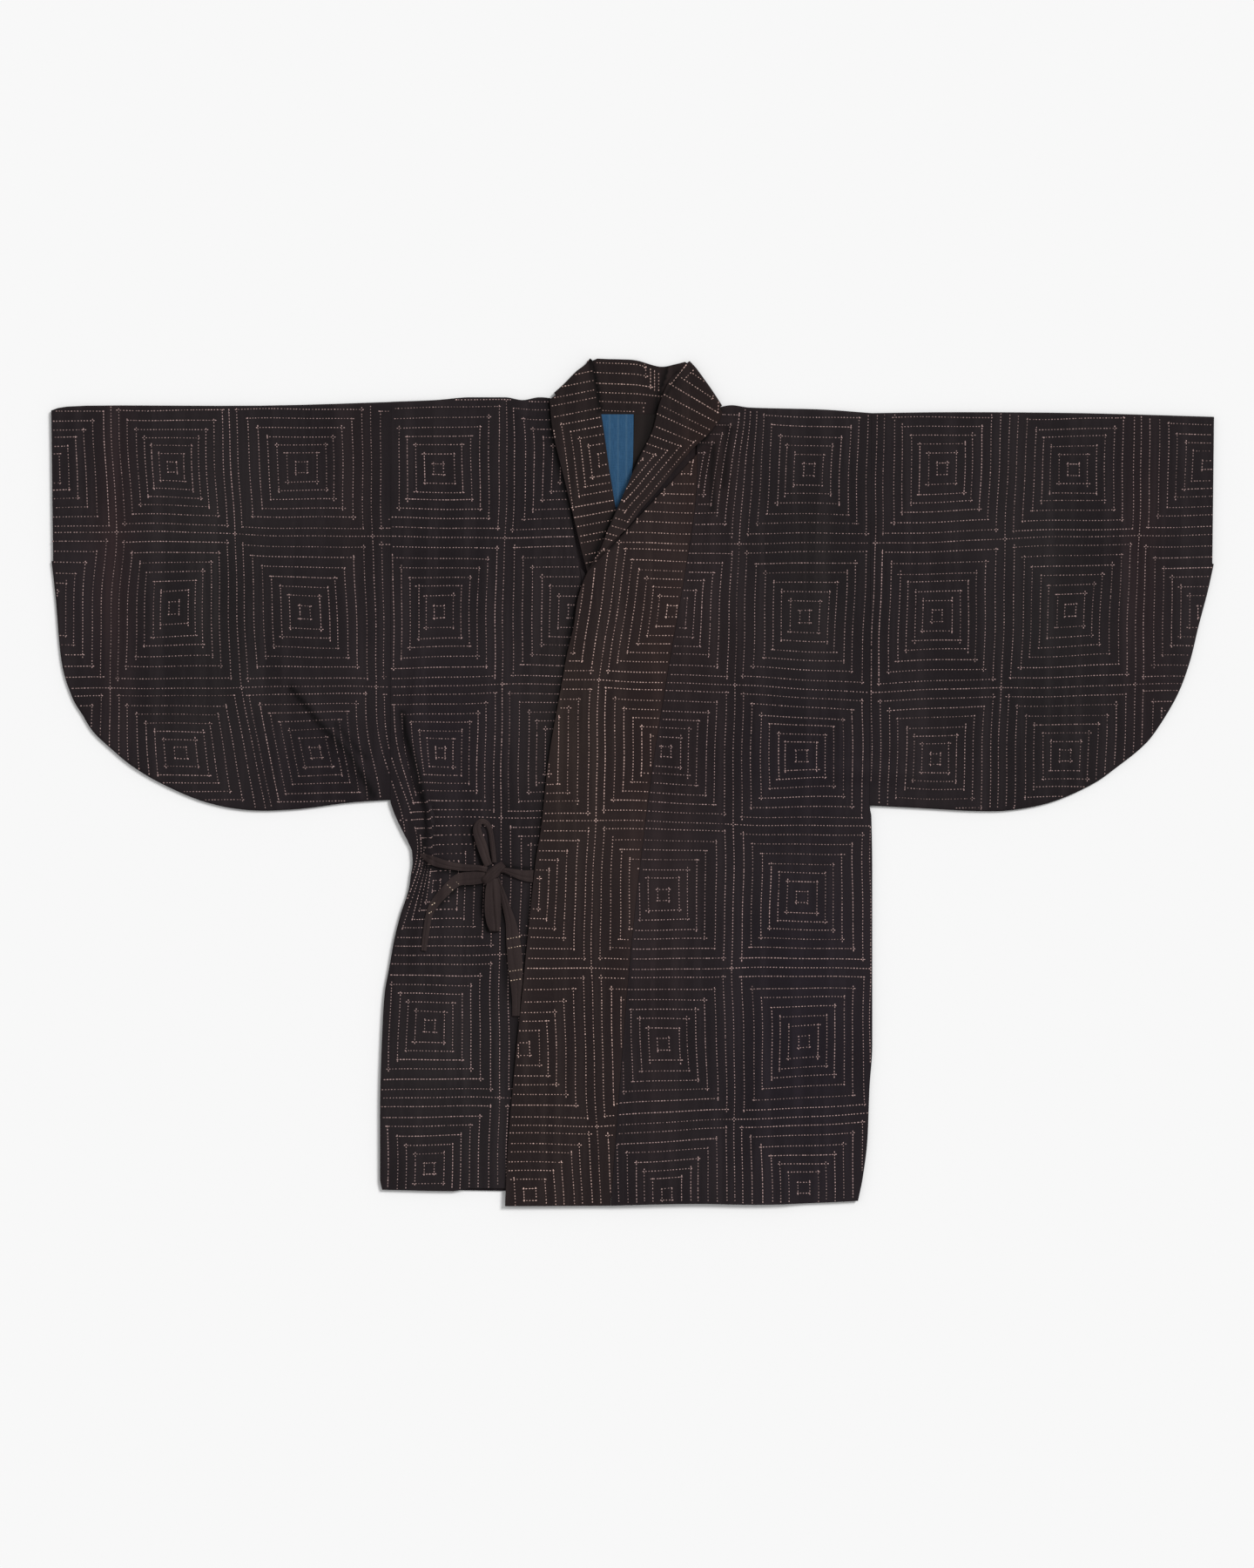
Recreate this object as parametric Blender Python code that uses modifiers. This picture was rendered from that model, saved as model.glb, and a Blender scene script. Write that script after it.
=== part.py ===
"""Sashiko work jacket, laid flat on its back and closed left over right with one pair of ties.

Metres, +Z up. X runs along the sleeves, +Y points to the collar, and the origin is in the middle of
the underside. Left and right are the wearer's, so the right half lies at -X.
"""
import functools
import math

import bmesh
import bpy
from mathutils import Vector

MM = 0.001

# Cloth: a lined, stitched cotton wall, the air between two layers, and the gap at a seam.
WALL = 1.6 * MM
LAYER_GAP = 0.6 * MM
SEAM_GAP = 0.3 * MM
FRONT_Z = WALL + LAYER_GAP
COLLAR_WALL = 2.4 * MM
COLLAR_Z = FRONT_Z + WALL + SEAM_GAP
LINING_WALL = 1.0 * MM
TIE_WALL = 1.2 * MM
TIE_CLEARANCE = 0.5 * MM
FOLD_STEPS = 4

# Body, in millimetres: the shoulder fold, the hems and the edges are read from these short tables.
HEM_MID = -437
SHOULDER_MID = 405
NECK_X = 69
OKUMI_HEM_Y = -453
SHOULDER_RIGHT = [
    {"x": -262, "y": 408}, {"x": -212, "y": 410}, {"x": -174, "y": 413}, {"x": -137, "y": 413},
    {"x": -118, "y": 410}, {"x": -100, "y": 413}, {"x": -88, "y": 412}, {"x": -80, "y": 405},
    {"x": -69, "y": 396}, {"x": -40, "y": 393.6}, {"x": 0, "y": 393},
]
SHOULDER_LEFT = [
    {"x": 0, "y": 392.5}, {"x": 60, "y": 392}, {"x": 69, "y": 392}, {"x": 86, "y": 394},
    {"x": 96, "y": 397}, {"x": 106, "y": 403}, {"x": 125, "y": 402}, {"x": 200, "y": 400},
    {"x": 257, "y": 396},
]
SIDE_RIGHT = [
    {"y": 412, "x": -259}, {"y": -19, "x": -260}, {"y": -30, "x": -257}, {"y": -44, "x": -251},
    {"y": -58, "x": -244}, {"y": -72, "x": -237}, {"y": -86, "x": -236}, {"y": -100, "x": -238},
    {"y": -114, "x": -240}, {"y": -142, "x": -249}, {"y": -170, "x": -256}, {"y": -198, "x": -261},
    {"y": -226, "x": -266}, {"y": -254, "x": -268}, {"y": -352, "x": -271}, {"y": -425, "x": -271},
    {"y": -440, "x": -268},
]
SIDE_LEFT = [
    {"y": 400, "x": 256}, {"y": -25, "x": 254}, {"y": -36, "x": 256}, {"y": -95, "x": 257},
    {"y": -282, "x": 257}, {"y": -329, "x": 254}, {"y": -381, "x": 252}, {"y": -423, "x": 247},
    {"y": -452, "x": 241},
]
HEM_RIGHT = [
    {"x": -271, "y": -437}, {"x": -193, "y": -438.5}, {"x": -174, "y": -435.5}, {"x": 137, "y": -436},
]
HEM_LEFT = [
    {"x": -137, "y": -454.5}, {"x": -62, "y": -455.3}, {"x": -26, "y": -454}, {"x": 69, "y": -452},
    {"x": 134, "y": -453}, {"x": 200, "y": -451}, {"x": 241, "y": -449},
]
HEM_BACK = [{"x": -271, "y": -436.5}, {"x": 250, "y": -444}]
# The seam between a front and its overlap panel, given for the left half.
OKUMI_SEAM = [
    {"y": 363, "x": NECK_X}, {"y": 284, "x": 65.5}, {"y": 108, "x": 36}, {"y": -5, "x": 18.5},
    {"y": -190, "x": -2.8}, {"y": OKUMI_HEM_Y, "x": -23.5},
]
OKUMI_SEAM_SAMPLES = 60
# The free edge of the overlap on top, and of the one that it hides.
FREE_EDGE_LEFT = [
    {"y": 231, "x": -46}, {"y": 210, "x": -55}, {"y": 191, "x": -60}, {"y": 169, "x": -63},
    {"y": 135, "x": -71}, {"y": 107, "x": -76}, {"y": 20, "x": -91}, {"y": -54, "x": -99},
    {"y": -83, "x": -104}, {"y": -139, "x": -110}, {"y": -219, "x": -118}, {"y": -308, "x": -127},
    {"y": -390, "x": -134}, {"y": -455, "x": -137},
]
FREE_EDGE_RIGHT = [
    {"y": 236, "x": -49}, {"y": 180, "x": -31}, {"y": 60, "x": 20}, {"y": -440, "x": 137},
]

# Rows of the front from the shoulder down, finer where the tie pulls the cloth in.
RIGHT_FRONT_ROWS = [{"to": 140, "steps": 6}, {"to": -20, "steps": 8}, {"to": -140, "steps": 10},
                    {"to": HEM_MID, "steps": 8}]
LEFT_FRONT_ROWS = [{"to": 250, "steps": 8}, {"to": 130, "steps": 7}, {"to": 40, "steps": 4},
                   {"to": -14, "steps": 4}, {"to": HEM_MID, "steps": 10}]
RIGHT_BACK_ROWS = [{"to": -20, "steps": 3}, {"to": -140, "steps": 5}, {"to": HEM_MID, "steps": 4}]
LEFT_BACK_ROWS = [{"to": -14, "steps": 3}, {"to": HEM_MID, "steps": 3}]
RIGHT_COLUMNS = [{"to": 0.45, "steps": 8}, {"to": 1.0, "steps": 5}]
LEFT_COLUMNS = [{"to": 0.3, "steps": 4}, {"to": 1.0, "steps": 9}]
NECK_COLUMNS = 3
OKUMI_COLUMNS = 4

# Sleeves, in millimetres: the top fold, the cuff opening and the rounded bag below it.
SLEEVE_TOP_RIGHT = [
    {"x": -259.6, "y": 408}, {"x": -399, "y": 404}, {"x": -586, "y": 404}, {"x": -623, "y": 399},
]
SLEEVE_TOP_LEFT = [
    {"x": 256.6, "y": 396}, {"x": 349, "y": 397}, {"x": 480, "y": 396}, {"x": 621, "y": 392},
]
CUFF_RIGHT = {"top": 399, "bottom": 237, "x": -623.6}
CUFF_LEFT = {"top": 392, "bottom": 234, "x": 623.6}
SLEEVE_BAG_RIGHT = [
    {"x": -260.6, "y": -19}, {"x": -305, "y": -22}, {"x": -361, "y": -29}, {"x": -413, "y": -30},
    {"x": -460, "y": -21}, {"x": -505, "y": -2}, {"x": -537, "y": 17}, {"x": -560, "y": 36},
    {"x": -579, "y": 54}, {"x": -591, "y": 73}, {"x": -602, "y": 92}, {"x": -613, "y": 129},
    {"x": -619, "y": 195}, {"x": -623.6, "y": 237},
]
SLEEVE_BAG_LEFT = [
    {"x": 254.6, "y": -25}, {"x": 312, "y": -28}, {"x": 368, "y": -31}, {"x": 407, "y": -30},
    {"x": 451, "y": -21}, {"x": 494, "y": -2}, {"x": 521, "y": 17}, {"x": 545, "y": 36},
    {"x": 561, "y": 54}, {"x": 584, "y": 92}, {"x": 598, "y": 129}, {"x": 607, "y": 166},
    {"x": 617, "y": 204}, {"x": 623.6, "y": 234},
]
SLEEVE_COLUMNS = 14
SLEEVE_FRONT_ROWS = 14
SLEEVE_BACK_ROWS = 5
SLEEVE_TOP_SAMPLES = 12
SLEEVE_BAG_SAMPLES = 40
BAG_NORMAL_STEP = 0.01

# Collar sections from the left-hand end to the right-hand end: the sewn edge and the free edge.
COLLAR_RIGHT_BRANCH = [
    {"seam_x": -34, "seam_y": 178, "free_x": 0, "free_y": 194},
    {"seam_x": -51, "seam_y": 234, "free_x": -10, "free_y": 245},
    {"seam_x": -64, "seam_y": 287, "free_x": -19, "free_y": 298},
    {"seam_x": -74, "seam_y": 328, "free_x": -26, "free_y": 342},
    {"seam_x": -85, "seam_y": 373, "free_x": -32, "free_y": 384},
    {"seam_x": -88, "seam_y": 398, "free_x": -36, "free_y": 408},
    {"seam_x": -89, "seam_y": 410, "free_x": -40, "free_y": 428},
]
COLLAR_FOLD_RIGHT = {"seam_x": -84, "seam_y": 417, "free_x": -46, "free_y": 455}
COLLAR_BACK = [
    {"seam_x": -72, "seam_y": 407, "free_x": -38, "free_y": 454.5},
    {"seam_x": -56, "seam_y": 398, "free_x": -27, "free_y": 454},
    {"seam_x": -38, "seam_y": 394.6, "free_x": -14, "free_y": 453.7},
    {"seam_x": 1, "seam_y": 393.8, "free_x": 4, "free_y": 452.5},
    {"seam_x": 30, "seam_y": 393.6, "free_x": 29, "free_y": 448.5},
    {"seam_x": 60, "seam_y": 395, "free_x": 46, "free_y": 448.5},
    {"seam_x": 76, "seam_y": 399.5, "free_x": 56, "free_y": 451},
]
COLLAR_FOLD_LEFT = {"seam_x": 96, "seam_y": 404, "free_x": 62, "free_y": 452}
COLLAR_LEFT_BRANCH = [
    {"seam_x": 96, "seam_y": 396, "free_x": 53, "free_y": 444},
    {"seam_x": 92, "seam_y": 387, "free_x": 40, "free_y": 431},
    {"seam_x": 80, "seam_y": 372, "free_x": 29, "free_y": 406},
    {"seam_x": 66, "seam_y": 359, "free_x": 21, "free_y": 376},
    {"seam_x": 45, "seam_y": 335, "free_x": 8, "free_y": 350},
    {"seam_x": 24, "seam_y": 309, "free_x": -4, "free_y": 322},
    {"seam_x": 9, "seam_y": 292, "free_x": -16, "free_y": 295},
    {"seam_x": -5, "seam_y": 273, "free_x": -26, "free_y": 272},
    {"seam_x": -23, "seam_y": 256, "free_x": -34, "free_y": 251},
    {"seam_x": -41, "seam_y": 236, "free_x": -45, "free_y": 232},
]
COLLAR_COLUMNS = 5
COLLAR_BRANCH_RIGHT_ROWS = 9
COLLAR_BACK_ROWS = 9
COLLAR_BRANCH_LEFT_ROWS = 14

# Where the top layers climb over the collar end that they hide, and how far the climb takes.
HIDDEN_COLLAR_AXIS = ((-26, 300), (-17, 190))
HIDDEN_COLLAR_REACH = 44
UNDERLAP_MARGIN = 20
CLIMB = 34

# Folds: a crest along a path, with its height and how far it falls away on each side, in millimetres.
# Left and right are those of a path that runs down; on one that runs across they are below and above.
FOLDS = {
    "side tuck": [
        {"x": -221, "y": 241, "height": 0.0, "left": 30, "right": 34},
        {"x": -227, "y": 166, "height": 1.0, "left": 24, "right": 34},
        {"x": -231, "y": 110, "height": 2.4, "left": 20, "right": 36},
        {"x": -240, "y": 48, "height": 3.8, "left": 16, "right": 40},
        {"x": -230, "y": 0, "height": 4.4, "left": 15, "right": 44},
        {"x": -219, "y": -22, "height": 4.4, "left": 14, "right": 44},
        {"x": -215, "y": -50, "height": 4.2, "left": 14, "right": 36},
        {"x": -215, "y": -78, "height": 3.6, "left": 14, "right": 30},
        {"x": -221, "y": -112, "height": 3.0, "left": 15, "right": 28},
        {"x": -227, "y": -154, "height": 2.0, "left": 20, "right": 30},
        {"x": -238, "y": -212, "height": 0.0, "left": 24, "right": 30},
    ],
    "sleeve crease": [
        {"x": -396, "y": 160, "height": 0.0, "left": 22, "right": 22},
        {"x": -371, "y": 120, "height": 2.2, "left": 24, "right": 20},
        {"x": -330, "y": 60, "height": 2.6, "left": 26, "right": 20},
        {"x": -291, "y": 7, "height": 1.4, "left": 24, "right": 20},
        {"x": -270, "y": -14, "height": 0.0, "left": 20, "right": 16},
    ],
    "underarm gather": [
        {"x": 158, "y": 2, "height": 0.0, "left": 16, "right": 16},
        {"x": 200, "y": 11, "height": 2.0, "left": 18, "right": 14},
        {"x": 238, "y": 13, "height": 3.0, "left": 18, "right": 14},
        {"x": 290, "y": 9, "height": 2.4, "left": 18, "right": 16},
        {"x": 352, "y": 2, "height": 0.0, "left": 20, "right": 16},
    ],
    "neck fold": [
        {"x": 100, "y": 362, "height": 0.0, "left": 14, "right": 20},
        {"x": 108, "y": 330, "height": 1.6, "left": 16, "right": 22},
        {"x": 116, "y": 270, "height": 1.2, "left": 20, "right": 24},
        {"x": 122, "y": 200, "height": 0.0, "left": 20, "right": 24},
    ],
}

# Ties: each stretch that shows, along its middle, with its half width and its lift off the cloth below.
TIES = {
    "tie_anchor_side": [
        {"x": -227, "y": -82, "half": 5.0, "lift": 0.6}, {"x": -214, "y": -82, "half": 4.4, "lift": 0.6},
        {"x": -199, "y": -86, "half": 3.2, "lift": 0.6}, {"x": -183, "y": -91, "half": 2.8, "lift": 1.0},
        {"x": -159, "y": -95, "half": 2.8, "lift": 2.6},
    ],
    "tie_anchor_front": [
        {"x": -140.6, "y": -94, "half": 2.2, "lift": 2.0}, {"x": -130, "y": -96, "half": 3.0, "lift": 1.2},
        {"x": -119, "y": -99, "half": 4.2, "lift": 0.4}, {"x": -106.5, "y": -101.5, "half": 5.4, "lift": 0.0},
    ],
    "tie_loop_up": [
        {"x": -153.6, "y": -86.4, "half": 3.2, "lift": 2.6}, {"x": -159, "y": -73, "half": 4.2, "lift": 2.6},
        {"x": -165, "y": -59, "half": 3.9, "lift": 2.2}, {"x": -167.5, "y": -50, "half": 3.0, "lift": 1.8},
        {"x": -164.5, "y": -44.5, "half": 2.5, "lift": 1.4}, {"x": -158.5, "y": -45.5, "half": 2.4, "lift": 1.0},
        {"x": -154, "y": -56, "half": 2.2, "lift": 0.6}, {"x": -150, "y": -70, "half": 2.1, "lift": 0.6},
        {"x": -147, "y": -87.4, "half": 1.9, "lift": 1.4},
    ],
    "tie_tail_right": [
        {"x": -146, "y": -102.6, "half": 2.8, "lift": 0.4}, {"x": -138.5, "y": -126, "half": 3.4, "lift": 0.2},
        {"x": -134.5, "y": -145, "half": 4.2, "lift": 0.2}, {"x": -132, "y": -157, "half": 6.0, "lift": 0.0},
        {"x": -128.8, "y": -176, "half": 7.6, "lift": 0.0}, {"x": -128, "y": -212, "half": 7.0, "lift": 0.0},
        {"x": -127.5, "y": -251, "half": 4.2, "lift": 0.0},
    ],
    "tie_tail_left": [
        {"x": -158.8, "y": -99.6, "half": 3.4, "lift": 0.8}, {"x": -173, "y": -103, "half": 5.2, "lift": 0.4},
        {"x": -186, "y": -107, "half": 4.6, "lift": 0.2}, {"x": -197, "y": -115, "half": 4.2, "lift": 0.2},
        {"x": -206.5, "y": -124, "half": 3.8, "lift": 0.0}, {"x": -215, "y": -134, "half": 3.4, "lift": 0.0},
        {"x": -220, "y": -145, "half": 3.6, "lift": 0.0}, {"x": -221.5, "y": -160, "half": 3.8, "lift": 0.0},
        {"x": -223, "y": -179, "half": 3.0, "lift": 0.0},
    ],
}
TIE_COLUMNS = 3
TIE_LOOP_DOWN = {"x": -147.5, "top": -106, "bottom": -162, "half_top": 5.6, "half_bottom": 7.6, "lift": 2.3}
TIE_LOOP_ROWS = 6
TIE_KNOT = {"x": -150, "y": -96.5, "half_length": 11, "half_width": 7.5, "half_height": 3.8, "turn": 45}

# Lining pieces that show in the neck, in millimetres, from the top down.
LINING_BLUE = [
    {"y": 391, "left": -42, "right": 1.0}, {"y": 330, "left": -34, "right": -0.6},
    {"y": 284, "left": -26, "right": -9},
]
LINING_BROWN = [
    {"y": 391, "left": 1.5, "right": 44}, {"y": 350, "left": 0.4, "right": 26},
    {"y": 322, "left": 0.2, "right": 8},
]
LINING_ROWS = 4
LINING_COLUMNS = 3

# Finishes: base colour in linear light and roughness.
FINISHES = {
    "indigo_black_cotton": {"colour": (0.019, 0.014, 0.016, 1.0), "roughness": 0.92},
    "brown_cotton": {"colour": (0.027, 0.018, 0.017, 1.0), "roughness": 0.92},
    "blue_lining": {"colour": (0.034, 0.105, 0.205, 1.0), "roughness": 0.88},
    "dark_brown_lining": {"colour": (0.018, 0.013, 0.014, 1.0), "roughness": 0.9},
    "tie_cotton": {"colour": (0.019, 0.013, 0.012, 1.0), "roughness": 0.9},
}


def clear_scene():
    for obj in list(bpy.data.objects):
        bpy.data.objects.remove(obj, do_unlink=True)


def make_collection(name):
    collection = bpy.data.collections.new(name)
    bpy.context.scene.collection.children.link(collection)
    return collection


def make_material(name, finish):
    material = bpy.data.materials.new(name)
    material.use_nodes = True
    shader = material.node_tree.nodes["Principled BSDF"]
    shader.inputs["Base Color"].default_value = finish["colour"]
    shader.inputs["Roughness"].default_value = finish["roughness"]
    shader.inputs["Metallic"].default_value = 0.0
    return material


def smooth(low, high, value):
    """0 below low, 1 above high, and an even S between them."""
    t = min(1.0, max(0.0, (value - low) / (high - low)))
    return t * t * (3.0 - 2.0 * t)


def read(rows, key, at, column):
    """Straight-line reading of one column of a table that is ordered by its key column."""
    first, last = rows[0], rows[-1]
    rising = last[key] > first[key]
    for low, high in zip(rows, rows[1:]):
        inside = at <= high[key] if rising else at >= high[key]
        if inside or high is last:
            t = (at - low[key]) / (high[key] - low[key])
            t = min(1.0, max(0.0, t))
            return low[column] + (high[column] - low[column]) * t
    return last[column]


def stations(start, spans):
    """Values from start on, each span cut into its number of equal steps."""
    values = [start]
    for span in spans:
        begin = values[-1]
        for step in range(1, span["steps"] + 1):
            values.append(begin + (span["to"] - begin) * step / span["steps"])
    return values


def resample(rows, count):
    """A smooth curve through a table's rows, read at evenly spaced row numbers."""
    keys = list(rows[0])
    result = []
    for number in range(count + 1):
        place = number * (len(rows) - 1) / count
        index = min(int(place), len(rows) - 2)
        t = place - index
        around = [rows[min(max(index + step, 0), len(rows) - 1)] for step in (-1, 0, 1, 2)]
        result.append({key: catmull_rom([row[key] for row in around], t) for key in keys})
    return result


def catmull_rom(values, t):
    a, b, c, d = values
    return 0.5 * (2 * b + (c - a) * t + (2 * a - 5 * b + 4 * c - d) * t * t
                  + (3 * b - a - 3 * c + d) * t ** 3)


def segment_distance(x, y, a, b):
    """Distance to a segment, how far along it the nearest point is, and the side it lies on."""
    dx, dy = b[0] - a[0], b[1] - a[1]
    t = ((x - a[0]) * dx + (y - a[1]) * dy) / (dx * dx + dy * dy)
    t = min(1.0, max(0.0, t))
    away_x, away_y = x - a[0] - dx * t, y - a[1] - dy * t
    side = dx * away_y - dy * away_x
    return math.hypot(away_x, away_y), t, side


def fold_height(x, y):
    """Height of all folds over the smooth cloth, at a place in millimetres."""
    total = 0.0
    for rows in FOLDS.values():
        nearest = None
        for low, high in zip(rows, rows[1:]):
            distance, t, side = segment_distance(x, y, (low["x"], low["y"]), (high["x"], high["y"]))
            if nearest is None or distance < nearest[0]:
                nearest = (distance, t, side, low, high)
        distance, t, side, low, high = nearest
        reach_name = "left" if side < 0 else "right"
        height = low["height"] + (high["height"] - low["height"]) * t
        reach = low[reach_name] + (high[reach_name] - low[reach_name]) * t
        total += height * (1.0 - smooth(0.0, reach, distance))
    return total * MM


def underlap(x, y):
    """1 where the left front lies on the right one, falling to 0 past the hidden edge."""
    edge = read(FREE_EDGE_RIGHT, "y", y, "x")
    return 1.0 - smooth(edge + UNDERLAP_MARGIN, edge + UNDERLAP_MARGIN + CLIMB, x)


def climb_over_collar(x, y):
    distance = segment_distance(x, y, *HIDDEN_COLLAR_AXIS)[0]
    return 1.0 - smooth(HIDDEN_COLLAR_REACH, HIDDEN_COLLAR_REACH + CLIMB, distance)


def lower_front_z(x, y):
    """Underside of the right front and of the sleeves' fronts, which lie on the back."""
    return FRONT_Z + fold_height(x, y)


def left_level(x, y):
    """How high the left front lies over the right front and the collar's hidden end."""
    on_right = FRONT_Z + (WALL + LAYER_GAP) * underlap(x, y)
    on_collar = COLLAR_Z + COLLAR_WALL + SEAM_GAP
    return on_right + (on_collar - on_right) * climb_over_collar(x, y)


def left_front_z(x, y):
    """Underside of the left front."""
    return left_level(x, y) + fold_height(x, y)


def left_branch_z(x, y):
    """Underside of the collar branch on the left front."""
    return left_level(x, y) + WALL + SEAM_GAP


def sheet(name, columns, rows, place, wall, material, collection, keep=None, closed=False):
    """A grid of cloth whose points are moved by place(column, row), given a wall by Solidify."""
    mesh = bpy.data.meshes.new(name)
    grid = bmesh.new()
    bmesh.ops.create_grid(grid, x_segments=columns, y_segments=rows, size=0.5)
    doomed = []
    for face in grid.faces:
        middle = face.calc_center_median()
        column = (middle.x + 0.5) * columns
        row = (middle.y + 0.5) * rows
        if keep is not None and not keep(column, row):
            doomed.append(face)
    bmesh.ops.delete(grid, geom=doomed, context="FACES")
    for vertex in grid.verts:
        column = round((vertex.co.x + 0.5) * columns)
        row = round((vertex.co.y + 0.5) * rows)
        vertex.co = place(column, row)
    if closed:
        bmesh.ops.remove_doubles(grid, verts=grid.verts, dist=0.01 * MM)
    bmesh.ops.recalc_face_normals(grid, faces=grid.faces)
    grid.to_mesh(mesh)
    grid.free()
    mesh.materials.append(material)
    mesh.shade_smooth()
    obj = bpy.data.objects.new(name, mesh)
    collection.objects.link(obj)
    shell = obj.modifiers.new("wall", "SOLIDIFY")
    shell.thickness = wall
    shell.offset = 0.0
    shell.use_even_offset = True
    return obj


def turn(fold_x, fold_y, out_x, out_y, low_z, high_z, angle, wall):
    """A point on a hairpin fold: angle 0 is on the lower layer and pi on the upper one."""
    radius = (high_z - low_z) / 2
    reach = -radius - wall / 2 + radius * math.sin(angle)
    return Vector((fold_x + out_x * reach, fold_y + out_y * reach,
                   low_z + radius * (1.0 - math.cos(angle))))


def body_panel(name, side, shoulder, back_rows, front_rows, columns, front_z, material, collection, half):
    """One long panel: up the back, over the shoulder fold and down the front. half is -1 or 1."""
    across = stations(0.0, columns)
    neck = len(across) - 1
    across += [1.0 + (step + 1) / NECK_COLUMNS for step in range(NECK_COLUMNS)]
    down = stations(SHOULDER_MID, front_rows)
    up = stations(SHOULDER_MID, back_rows)[::-1]
    back = len(up) - 1
    rows = back + FOLD_STEPS + len(down) - 1
    hem = HEM_RIGHT if half < 0 else HEM_LEFT
    fold_inset = (FRONT_Z / 2 + WALL / 2) / MM

    def across_x(u, y, is_front):
        side_x = read(side, "y", y, "x")
        if is_front:
            inner = okumi_seam_x(y, half) + half * SEAM_GAP / MM / 2
            return side_x + (inner - side_x) * u
        if u <= 1.0:
            return side_x + (half * NECK_X - side_x) * u
        return half * (NECK_X + (SEAM_GAP / MM / 2 - NECK_X) * (u - 1.0))

    def place(column, row):
        u = across[column]
        if row <= back:
            x, y = settle(u, (SHOULDER_MID - up[row]) / (SHOULDER_MID - HEM_MID), False)
            return Vector((x * MM, y * MM, WALL / 2))
        if row < back + FOLD_STEPS:
            x, y = settle(u, 0.0, False)
            top = (y + fold_inset) * MM
            angle = math.pi * (row - back) / FOLD_STEPS
            return turn(x * MM, top, 0.0, 1.0, WALL / 2, front_z(x, y) + WALL / 2, angle, WALL)
        station = down[row - back - FOLD_STEPS]
        x, y = settle(u, (SHOULDER_MID - station) / (SHOULDER_MID - HEM_MID), True)
        return Vector((x * MM, y * MM, front_z(x, y) + WALL / 2))

    def settle(u, part_down, is_front):
        inset = fold_inset if u <= 1.0 else 0.0
        y = SHOULDER_MID + (HEM_MID - SHOULDER_MID) * part_down
        for _ in range(3):
            x = across_x(u, y, is_front)
            top = read(shoulder, "x", x, "y") - inset
            bottom = read(hem if is_front else HEM_BACK, "x", x, "y")
            y = top + (bottom - top) * part_down
        return x, y

    def keep(column, row):
        return column < neck or row < back

    return sheet(name, len(across) - 1, rows, place, WALL, material, collection, keep=keep)


@functools.lru_cache
def okumi_seam_curve():
    """The left overlap seam as one smooth curve, cut finely."""
    return resample(OKUMI_SEAM, OKUMI_SEAM_SAMPLES)


def okumi_seam_x(y, half):
    """The seam between a front and its overlap panel: straight down, then slanting to the hem."""
    return half * read(okumi_seam_curve(), "y", y, "x")


def okumi(name, edge, top, rows, front_z, material, collection, half):
    """Tapered panel between the seam of a front and the free edge. top is its row of corners."""
    down = stations(top["edge_y"], rows)
    hem = HEM_RIGHT if half < 0 else HEM_LEFT
    seam_end = read(hem, "x", okumi_seam_x(OKUMI_HEM_Y, half), "y")
    edge_end = read(hem, "x", read(edge, "y", HEM_MID, "x"), "y")

    def place(column, row):
        u = column / OKUMI_COLUMNS
        part = (down[0] - down[row]) / (down[0] - down[-1])
        seam_y = top["seam_y"] + (seam_end - top["seam_y"]) * part
        seam_x = okumi_seam_x(seam_y, half) - half * SEAM_GAP / MM / 2
        edge_y = down[0] + (edge_end - down[0]) * part
        edge_x = read(edge, "y", edge_y, "x")
        x = seam_x + (edge_x - seam_x) * u
        y = seam_y + (edge_y - seam_y) * u
        return Vector((x * MM, y * MM, front_z(x, y) + WALL / 2))

    return sheet(name, OKUMI_COLUMNS, len(down) - 1, place, WALL, material, collection)


def polyline_point(points, part):
    """The point a given part of the way along a table's path, measured along the path."""
    lengths = [math.hypot(b["x"] - a["x"], b["y"] - a["y"]) for a, b in zip(points, points[1:])]
    target = part * sum(lengths)
    for length, low, high in zip(lengths, points, points[1:]):
        if target <= length or high is points[-1]:
            t = min(1.0, target / length)
            return low["x"] + (high["x"] - low["x"]) * t, low["y"] + (high["y"] - low["y"]) * t
        target -= length
    return points[-1]["x"], points[-1]["y"]


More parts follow.
